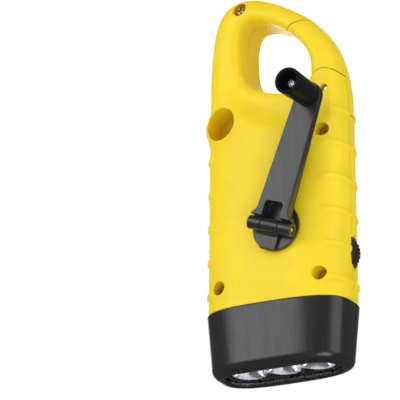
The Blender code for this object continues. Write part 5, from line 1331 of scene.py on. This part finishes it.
def make_solar_cell():
    """The cell as one solid, its front face divided into strips and pale lines."""
    cell = lofted("solar_cell_look", [
        cell_ring(PANEL_LIP + CELL_COVER + 2 * GAP, -CELL_MARGIN),
        cell_ring(PANEL_BACK, -CELL_MARGIN)])
    dressed(cell, BODY_PLACE, cell_strip(), cell_contact())
    strips = sizes().cell_strips
    half = sizes().cell_line / 2
    pitch = (CELL_TOP_Z - CELL_BOTTOM_Z) / strips
    bm = bmesh.new()
    bm.from_mesh(cell.data)
    marks = [CELL_BOTTOM_Z + pitch * i for i in range(1, strips)]
    for mark in marks:
        for z in (mark - half, mark + half):
            bmesh.ops.bisect_plane(bm, geom=bm.verts[:] + bm.edges[:] + bm.faces[:],
                                   plane_co=(0, 0, z), plane_no=(0, 0, 1))
    for face in bm.faces:
        z = face.calc_center_median().z
        if face.normal.y < -0.9 and any(abs(z - mark) < half for mark in marks):
            face.material_index = 1
    bm.to_mesh(cell.data)
    bm.free()
    smooth(cell)
    present(cell, "body", "solar_cell")


def make_solar_window():
    def ring(y, inset):
        return cell_ring(y, inset - CELL_MARGIN)

    front = PANEL_LIP + GAP
    window = bevelled("solar_window_look", ring, front, front + CELL_COVER, CELL_COVER / 5)
    look = clear("window_glass", (0.96, 0.96, 0.95), 0.02)
    present(dressed(window, BODY_PLACE, look), "body", "solar_window")


# Screws, pins and the thumbwheel

def cross_slot(x, z, size, low, high):
    """Two crossed blocks for the recess in a screw's head."""
    slim = size * CROSS_SLIMNESS
    return [block("slot", (x - wide, low, z - tall), (x + wide, high, z + tall))
            for wide, tall in ((size, slim), (slim, size))]


def pan_screw(name, x, z, seat, tip, shank, head, rise):
    """A screw along Y with a domed head, a cross recess and a pointed end."""
    profile = [(0, seat + rise)]
    for i in range(1, 8):
        share = 1 - i / 8
        up = PAN_DOME_FOOT + (1 - PAN_DOME_FOOT) * share
        profile.append((head * PAN_DOME_WIDTH * sqrt(1 - share ** 2), seat + rise * up))
    profile += [(head, seat + rise * PAN_EDGE), (head, seat), (shank, seat), (shank, tip + shank),
                (0, tip)]
    screw = turned(name, profile, 64, x, z)
    cut(screw, *cross_slot(x, z, head * CROSS_REACH, seat + rise * CROSS_FLOOR, seat + rise * 2))
    return screw


def make_shell_screws():
    for name, (x, z) in SHELL_SCREWS.items():
        screw = pan_screw("shell_screw_%s_look" % name, x, z, SCREW_SEAT_Y + GAP, SCREW_TIP_Y,
                          SCREW_SHANK_RADIUS, SCREW_HEAD_RADIUS, SCREW_HEAD_HEIGHT)
        # The screws' orange tint is painted bounce light from the yellow recess
        present(dressed(screw, BODY_PLACE, screw_metal_painted_bounce()), "body", "shell_screw_" + name)


def make_switch_wheel():
    """The thumbwheel with rounded ribs and a soft rim."""
    teeth = sizes().wheel_teeth
    deep = sizes().wheel_rib
    rim = WHEEL_THICKNESS / 8

    def ring(y, inset):
        points = []
        for x, z in ring_points(1, teeth * 8):
            turn = (atan2(z, x) / (2 * pi) * teeth) % 1
            valley = max(0, sin(pi * turn)) ** 3
            radius = WHEEL_RADIUS - inset - deep * valley
            points.append((WHEEL_X + radius * x, y, WHEEL_Z + radius * z))
        return points

    low, high = WHEEL_FRONT_Y, WHEEL_FRONT_Y + WHEEL_THICKNESS
    wheel = lofted("switch_wheel_look", [
        ring(low, rim), ring(low + rim * 0.3, rim * 0.3), ring(low + rim, 0),
        ring(high - rim, 0), ring(high - rim * 0.3, rim * 0.3), ring(high, rim)])
    join(wheel, disc_y("wheel_shaft", WHEEL_X, WHEEL_Z, WHEEL_SHAFT_RADIUS,
                       WHEEL_FRONT_Y - WHEEL_SHAFT, WHEEL_FRONT_Y + WHEEL_THICKNESS / 2))
    present(dressed(wheel, BODY_PLACE, wheel_plastic()), "switch", "switch_wheel")


# Crank

def tongue(low, strip):
    """The raised strip from the knuckle to the rim, with a hollow slope at its start."""
    high = HINGE_Y - TONGUE_DROP
    cove = high - strip
    side = [(0, low), (0, high), (-TONGUE_LENGTH, high)]
    for angle in quarter(8)[1:]:
        side.append((-TONGUE_LENGTH - cove * (1 - cos(angle)), high - cove * sin(angle)))
    side += rounded([(-TONGUE_LENGTH - 2 * cove, strip), (-TONGUE_END, strip),
                     (-TONGUE_END, low)], sizes().edge * 2)
    half = TONGUE_WIDTH / 2
    return pulled("tongue", [(-half, y, z) for z, y in side], (2 * half, 0, 0))


def make_hub():
    """The disc with its bearing, the centre knuckle and the stepped tongue."""
    low = BODY_HALF_DEPTH + GAP
    top = low + HUB_DISC
    rim = rounded([(0, top), (HUB_RADIUS, top), (HUB_RADIUS, low), (0, low)], HUB_EDGE, 5)
    hub = turned("crank_hub_look", rim, 128, 0, 0)
    half = KNUCKLE_CENTRE_WIDTH / 2
    inside = top - HUB_DISC / 2
    hinge = -HINGE_OFFSET
    join(hub,
         rod_x("centre_knuckle", -half, half, HINGE_Y, hinge, KNUCKLE_RADIUS, 64),
         block("knuckle_web", (-half, inside, hinge - KNUCKLE_RADIUS),
               (half, HINGE_Y, hinge + KNUCKLE_RADIUS)),
         tongue(inside, top + TONGUE_LIP),
         disc_y("journal", 0, 0, JOURNAL_RADIUS, GEAR_TOP_Y + GAP, inside),
         disc_y("shaft", 0, 0, SHAFT_RADIUS, GEAR_TOP_Y - GEAR_THICKNESS,
                GEAR_TOP_Y + GEAR_THICKNESS))
    cut(hub,
        rod_x("pin_bore", -half - RUN_OVER, half + RUN_OVER, HINGE_Y, hinge,
              HINGE_PIN_RADIUS + GAP),
        disc_y("shaft_bore", 0, 0, SHAFT_SCREW_RADIUS + GAP, 0, low))
    present(dressed(hub, CRANK_PLACE, crank_plastic()), "crank", "crank_hub")


def arm_outline():
    """The arm seen square on, from its flared root to its round tip."""
    root = ARM_ROOT_WIDTH / 2
    side = [(ARM_SHOULDER, ARM_START)]
    side += rounded([(ARM_SHOULDER, ARM_SHOULDER_END),
                     (root + (ARM_SHOULDER - root) * ARM_FLARE_SHARE, ARM_FLARE_MIDDLE),
                     (root, ARM_FLARE_END)], ARM_START / 3, 6)
    tip = [(x, ARM_LENGTH + z) for x, z in ring_points(ARM_TIP_RADIUS, 48, 0, pi)]
    return side + tip + [(-x, z) for x, z in side[::-1]]


def make_arm():
    low = HINGE_Y + ARM_RISE
    top = low + ARM_THICKNESS
    edge = sizes().arm_edge
    under = edge * ARM_UNDER_EDGE
    rings = []
    for inset in (under, 0):
        line = drawn_in(arm_outline(), inset)
        rings.append([(x, low + under - inset - ARM_ROOT_DROP * (1 - z / ARM_LENGTH), z)
                      for x, z in line])
    for angle in quarter(5):
        line = drawn_in(arm_outline(), edge * (1 - cos(angle)))
        rings.append([(x, top - edge * (1 - sin(angle)), z) for x, z in line])
    arm = lofted("crank_arm_look", rings)
    fork = KNUCKLE_CENTRE_WIDTH / 2 + GAP
    for side in (-1, 1):
        ends = sorted((side * (fork - RUN_OVER), side * BARREL_LENGTH / 2))
        web = sorted((side * (fork - RUN_OVER), side * (ARM_SHOULDER - edge * ARM_WEB_SHARE)))
        join(arm, rod_x("outer_knuckle", *ends, HINGE_Y, 0, KNUCKLE_RADIUS, 64),
             block("arm_web", (web[0], low - ARM_ROOT_DROP * ARM_WEB_SHARE, ARM_WEB_START),
                   (web[1], low + edge, ARM_WEB_END)))
    foot = -KNUCKLE_RADIUS - RUN_OVER
    window = rounded([(fork, foot), (fork, ARM_WINDOW_END), (-fork, ARM_WINDOW_END),
                      (-fork, foot)], ARM_WINDOW_RADIUS, 8)
    reach = BARREL_LENGTH / 2 + RUN_OVER
    cut(arm,
        prism("arm_window", window, HINGE_Y - KNUCKLE_RADIUS - RUN_OVER, top + RUN_OVER),
        rod_x("arm_pin_bore", -reach, reach, HINGE_Y, 0, HINGE_PIN_RADIUS + GAP),
        disc_y("screw_bore", 0, ARM_LENGTH, KNOB_SCREW_RADIUS + GAP, low - RUN_OVER,
               top + RUN_OVER))
    present(dressed(arm, HINGE_PLACE, crank_plastic()), "arm", "crank_arm")


def make_hinge_pin():
    def ring(x, inset):
        return [(x, HINGE_Y + y, z) for y, z in ring_points(HINGE_PIN_RADIUS - inset, 40)]

    half = BARREL_LENGTH / 2
    pin = bevelled("hinge_pin_look", ring, -half, half, HINGE_PIN_RADIUS / 3)
    present(dressed(pin, HINGE_PLACE, steel()), "arm", "hinge_pin")


def make_knob():
    """The open-ended knob, with rounded rims, in one turned profile."""
    base, tip = KNOB_BASE_Y, KNOB_TIP_Y
    floor = tip - KNOB_CUP_DEPTH
    cup = KNOB_RADIUS - KNOB_WALL
    bore = KNOB_SCREW_RADIUS + GAP
    lip = KNOB_WALL - KNOB_FILLET
    fillet = [(KNOB_RADIUS - KNOB_FILLET * (1 - sin(angle)), tip - KNOB_FILLET * (1 - cos(angle)))
              for angle in quarter(10)]
    profile = [(bore, base), (bore, floor), (cup, floor), (cup, tip - lip / 2),
               (cup + lip / 2, tip)] + fillet
    foot = KNOB_RADIUS - KNOB_TAPER
    profile += rounded([(foot, base + KNOB_FILLET), (foot, base),
                        (bore + KNOB_WALL, base)], KNOB_WALL * 0.4)
    knob = turned("crank_knob_look", profile, 96, 0, ARM_LENGTH)
    present(dressed(knob, HINGE_PLACE, knob_plastic()), "knob", "crank_knob")


def make_knob_screw():
    floor = KNOB_TIP_Y - KNOB_CUP_DEPTH
    screw = pan_screw("knob_screw_look", 0, ARM_LENGTH, floor + GAP, HINGE_Y + ARM_RISE,
                      KNOB_SCREW_RADIUS, KNOB_SCREW_HEAD_RADIUS, KNOB_SCREW_HEAD_RADIUS * 0.75)
    present(dressed(screw, HINGE_PLACE, steel()), "arm", "knob_screw")


# Hidden parts keep their CAD shape and get a finish

def dress_inner_parts():
    case = metal("steel_case_look", (0.60, 0.60, 0.58), 0.30, (1, 8, 1))
    looks = {
        board(): ("led_board", "main_board"),
        sleeve(): ("battery",),
        winding(): ("generator_coil",),
        case: ("generator_case",),
        nylon(): ("crank_gear", "compound_gear_1", "compound_gear_2"),
        plastic("gearbox_look", colours().knob, 0.48): ("gear_plate",),
        plastic("switch_body_look", colours().head, 0.50): ("switch_body",),
        steel(): ("gear_axle_1", "gear_axle_2", "plate_screw_1", "plate_screw_2",
                  "plate_screw_3", "generator_rotor", "crank_gear_screw", "gate_spring"),
    }
    for look, nodes in looks.items():
        for node in nodes:
            for slot in bpy.data.objects[node].material_slots:
                slot.material = look


# Stage

BACK = Vector((-0.4191, 0.8481, -0.3239)).normalized()
RIGHT = Vector((-0.8965, -0.4430, 0)).normalized()
AIM = Vector((0, PARTING_Y, 0)) - RIGHT * 0.02823 + RIGHT.cross(BACK) * -0.05922
BACKDROP_EDGE = 0.92

# Direction, distance and size of each lamp; the stage's settings hold the powers
LAMPS = {
    "key": ((0.448, 0.842, 0.301), 0.85, 0.62),
    "side": ((-0.919, 0.299, 0.259), 0.80, 0.75),
    "low": ((-0.45, 0.65, -0.6), 0.8, 0.5),
    "front": ((0.55, -0.80, 0.35), 0.9, 0.8),
}


def facing(item, target):
    """Turns a lamp or camera so that it looks at the target."""
    item.rotation_euler = (target - item.location).to_track_quat("-Z", "Y").to_euler()


def make_camera():
    data = bpy.data.cameras.new("camera")
    data.angle = 2 * atan2(stage().view / 2, stage().distance)
    data.clip_start = 0.01
    item = added("camera", data)
    item.location = AIM + BACK * stage().distance
    facing(item, AIM)
    bpy.context.scene.camera = item


def make_lamps():
    middle = Vector((0, 0, BODY_HEIGHT / 2))
    for name, (direction, distance, size) in LAMPS.items():
        data = bpy.data.lights.new(name, "AREA")
        data.shape = "DISK"
        data.size = size
        data.energy = getattr(stage(), name)
        item = added(name + "_lamp", data)
        item.location = middle + Vector(direction).normalized() * distance
        facing(item, middle)


def make_floor():
    """Pale floor that shows its shadow from above and lets the low camera see past it."""
    look = Look("floor_look")
    look.shade(Base_Color=look.mottled(look.noise(0.4, 3), colours().floor, 1, 1.03),
               Roughness=look.ranged(look.noise(0.02, 3), 0.80, 0.90))
    through = look.add("NewGeometry").outputs["Backfacing"]
    path = look.add("LightPath").outputs
    for kind in ("Is Shadow Ray", "Is Glossy Ray", "Is Transmission Ray"):
        through = look.math("MAXIMUM", through, path[kind])
    mix = look.add("MixShader", {0: through, 1: look.shader.outputs["BSDF"],
                                 2: look.add("BsdfTransparent").outputs["BSDF"]})
    look.tree.links.new(mix.outputs["Shader"],
                        look.tree.nodes["Material Output"].inputs["Surface"])
    half = stage().floor / 2
    mesh = bpy.data.meshes.new("floor")
    mesh.from_pydata([(-half, -half, 0), (half, -half, 0), (half, half, 0), (-half, half, 0)],
                     [], [(0, 1, 2, 3)])
    mesh.materials.append(look.material)
    added("floor", mesh)


def make_room():
    """A dim room with a white backdrop, which the camera, glass and grazed faces see."""
    world = bpy.context.scene.world or bpy.data.worlds.new("room")
    bpy.context.scene.world = world
    world.use_nodes = True
    nodes = Nodes(world.node_tree)
    nodes.tree.nodes.clear()
    path = nodes.add("LightPath").outputs
    glossy = path["Is Glossy Ray"]
    place = nodes.add("TexCoord").outputs["Generated"]
    ahead = nodes.add("VectorMath", {0: place, 1: -BACK}, operation="DOT_PRODUCT")
    backdrop = nodes.math("GREATER_THAN", ahead.outputs["Value"], BACKDROP_EDGE)
    white = nodes.math("MAXIMUM", path["Is Camera Ray"], path["Is Transmission Ray"])
    white = nodes.math("MAXIMUM", white, nodes.math("MULTIPLY", glossy, backdrop))
    dim = nodes.math("MULTIPLY_ADD", glossy, stage().mirrored - stage().room, stage().room)
    room = nodes.add("Background", {"Color": (1, 1, 1, 1),
                                    "Strength": nodes.math("MAXIMUM", white, dim)})
    nodes.tree.links.new(room.outputs[0], nodes.add("OutputWorld").inputs["Surface"])


def make_stage():
    make_camera()
    make_room()
    make_floor()
    make_lamps()
    bpy.context.scene.view_settings.view_transform = "Standard"


# Operators, one for each piece or group of like pieces

class FLASHLIGHT_OT_rear_shell(bpy.types.Operator):
    """Builds the crank side of the body"""
    bl_idname = "flashlight.rear_shell"
    bl_label = "Rear shell"

    def execute(self, context):
        make_rear_shell()
        return {"FINISHED"}


class FLASHLIGHT_OT_front_shell(bpy.types.Operator):
    """Builds the solar side of the body"""
    bl_idname = "flashlight.front_shell"
    bl_label = "Front shell"

    def execute(self, context):
        make_front_shell()
        return {"FINISHED"}


class FLASHLIGHT_OT_gate(bpy.types.Operator):
    """Builds the spring gate and its pin"""
    bl_idname = "flashlight.gate"
    bl_label = "Gate"

    def execute(self, context):
        make_gate()
        make_gate_pin()
        return {"FINISHED"}


class FLASHLIGHT_OT_shell_screws(bpy.types.Operator):
    """Builds the screws of the body"""
    bl_idname = "flashlight.shell_screws"
    bl_label = "Shell screws"

    def execute(self, context):
        make_shell_screws()
        return {"FINISHED"}


class FLASHLIGHT_OT_head(bpy.types.Operator):
    """Builds the black head"""
    bl_idname = "flashlight.head"
    bl_label = "Head"

    def execute(self, context):
        make_head()
        return {"FINISHED"}


class FLASHLIGHT_OT_lamp(bpy.types.Operator):
    """Builds the lens, the reflector and the LEDs"""
    bl_idname = "flashlight.lamp"
    bl_label = "Lamp"

    def execute(self, context):
        make_lens()
        make_reflector()
        make_leds()
        return {"FINISHED"}


class FLASHLIGHT_OT_solar_panel(bpy.types.Operator):
    """Builds the bezel, the cell and its cover"""
    bl_idname = "flashlight.solar_panel"
    bl_label = "Solar panel"

    def execute(self, context):
        make_solar_bezel()
        make_solar_cell()
        make_solar_window()
        return {"FINISHED"}


class FLASHLIGHT_OT_switch_wheel(bpy.types.Operator):
    """Builds the ribbed thumbwheel"""
    bl_idname = "flashlight.switch_wheel"
    bl_label = "Thumbwheel"

    def execute(self, context):
        make_switch_wheel()
        return {"FINISHED"}


class FLASHLIGHT_OT_hub(bpy.types.Operator):
    """Builds the hub of the crank"""
    bl_idname = "flashlight.hub"
    bl_label = "Crank hub"

    def execute(self, context):
        make_hub()
        return {"FINISHED"}


class FLASHLIGHT_OT_arm(bpy.types.Operator):
    """Builds the folding arm and its pin"""
    bl_idname = "flashlight.arm"
    bl_label = "Crank arm"

    def execute(self, context):
        make_arm()
        make_hinge_pin()
        return {"FINISHED"}


class FLASHLIGHT_OT_knob(bpy.types.Operator):
    """Builds the knob and its screw"""
    bl_idname = "flashlight.knob"
    bl_label = "Knob"

    def execute(self, context):
        make_knob()
        make_knob_screw()
        return {"FINISHED"}


class FLASHLIGHT_OT_inner_parts(bpy.types.Operator):
    """Gives the hidden parts their finish"""
    bl_idname = "flashlight.inner_parts"
    bl_label = "Inner parts"

    def execute(self, context):
        dress_inner_parts()
        return {"FINISHED"}


class FLASHLIGHT_OT_stage(bpy.types.Operator):
    """Builds the floor, the room, the lamps and the camera"""
    bl_idname = "flashlight.stage"
    bl_label = "Stage"

    def execute(self, context):
        make_stage()
        return {"FINISHED"}


OPERATORS = (
    FLASHLIGHT_OT_rear_shell, FLASHLIGHT_OT_front_shell, FLASHLIGHT_OT_gate,
    FLASHLIGHT_OT_shell_screws, FLASHLIGHT_OT_head, FLASHLIGHT_OT_lamp, FLASHLIGHT_OT_solar_panel,
    FLASHLIGHT_OT_switch_wheel, FLASHLIGHT_OT_hub, FLASHLIGHT_OT_arm, FLASHLIGHT_OT_knob,
    FLASHLIGHT_OT_inner_parts, FLASHLIGHT_OT_stage,
)


class FLASHLIGHT_PT_panel(bpy.types.Panel):
    """Lists the settings and the operators."""
    bl_idname = "FLASHLIGHT_PT_panel"
    bl_label = "Flashlight"
    bl_space_type = "VIEW_3D"
    bl_region_type = "UI"
    bl_category = "Flashlight"

    def draw(self, context):
        for group in (context.scene.flashlight_colours, context.scene.flashlight_sizes,
                      context.scene.flashlight_stage):
            column = self.layout.column()
            for name in group.bl_rna.properties.keys():
                if name not in ("rna_type", "name"):
                    column.prop(group, name)
        for made in OPERATORS:
            self.layout.operator(made.bl_idname)


CLASSES = (FlashlightColours, FlashlightSizes, FlashlightStage, *OPERATORS, FLASHLIGHT_PT_panel)


def register():
    for made in CLASSES:
        bpy.utils.register_class(made)
    bpy.types.Scene.flashlight_colours = PointerProperty(type=FlashlightColours)
    bpy.types.Scene.flashlight_sizes = PointerProperty(type=FlashlightSizes)
    bpy.types.Scene.flashlight_stage = PointerProperty(type=FlashlightStage)


def unregister():
    del bpy.types.Scene.flashlight_stage
    del bpy.types.Scene.flashlight_sizes
    del bpy.types.Scene.flashlight_colours
    for made in reversed(CLASSES):
        bpy.utils.unregister_class(made)


def main():
    register()
    for made in OPERATORS:
        getattr(bpy.ops.flashlight, made.bl_idname.split(".")[1])()


if __name__ == "__main__":
    main()
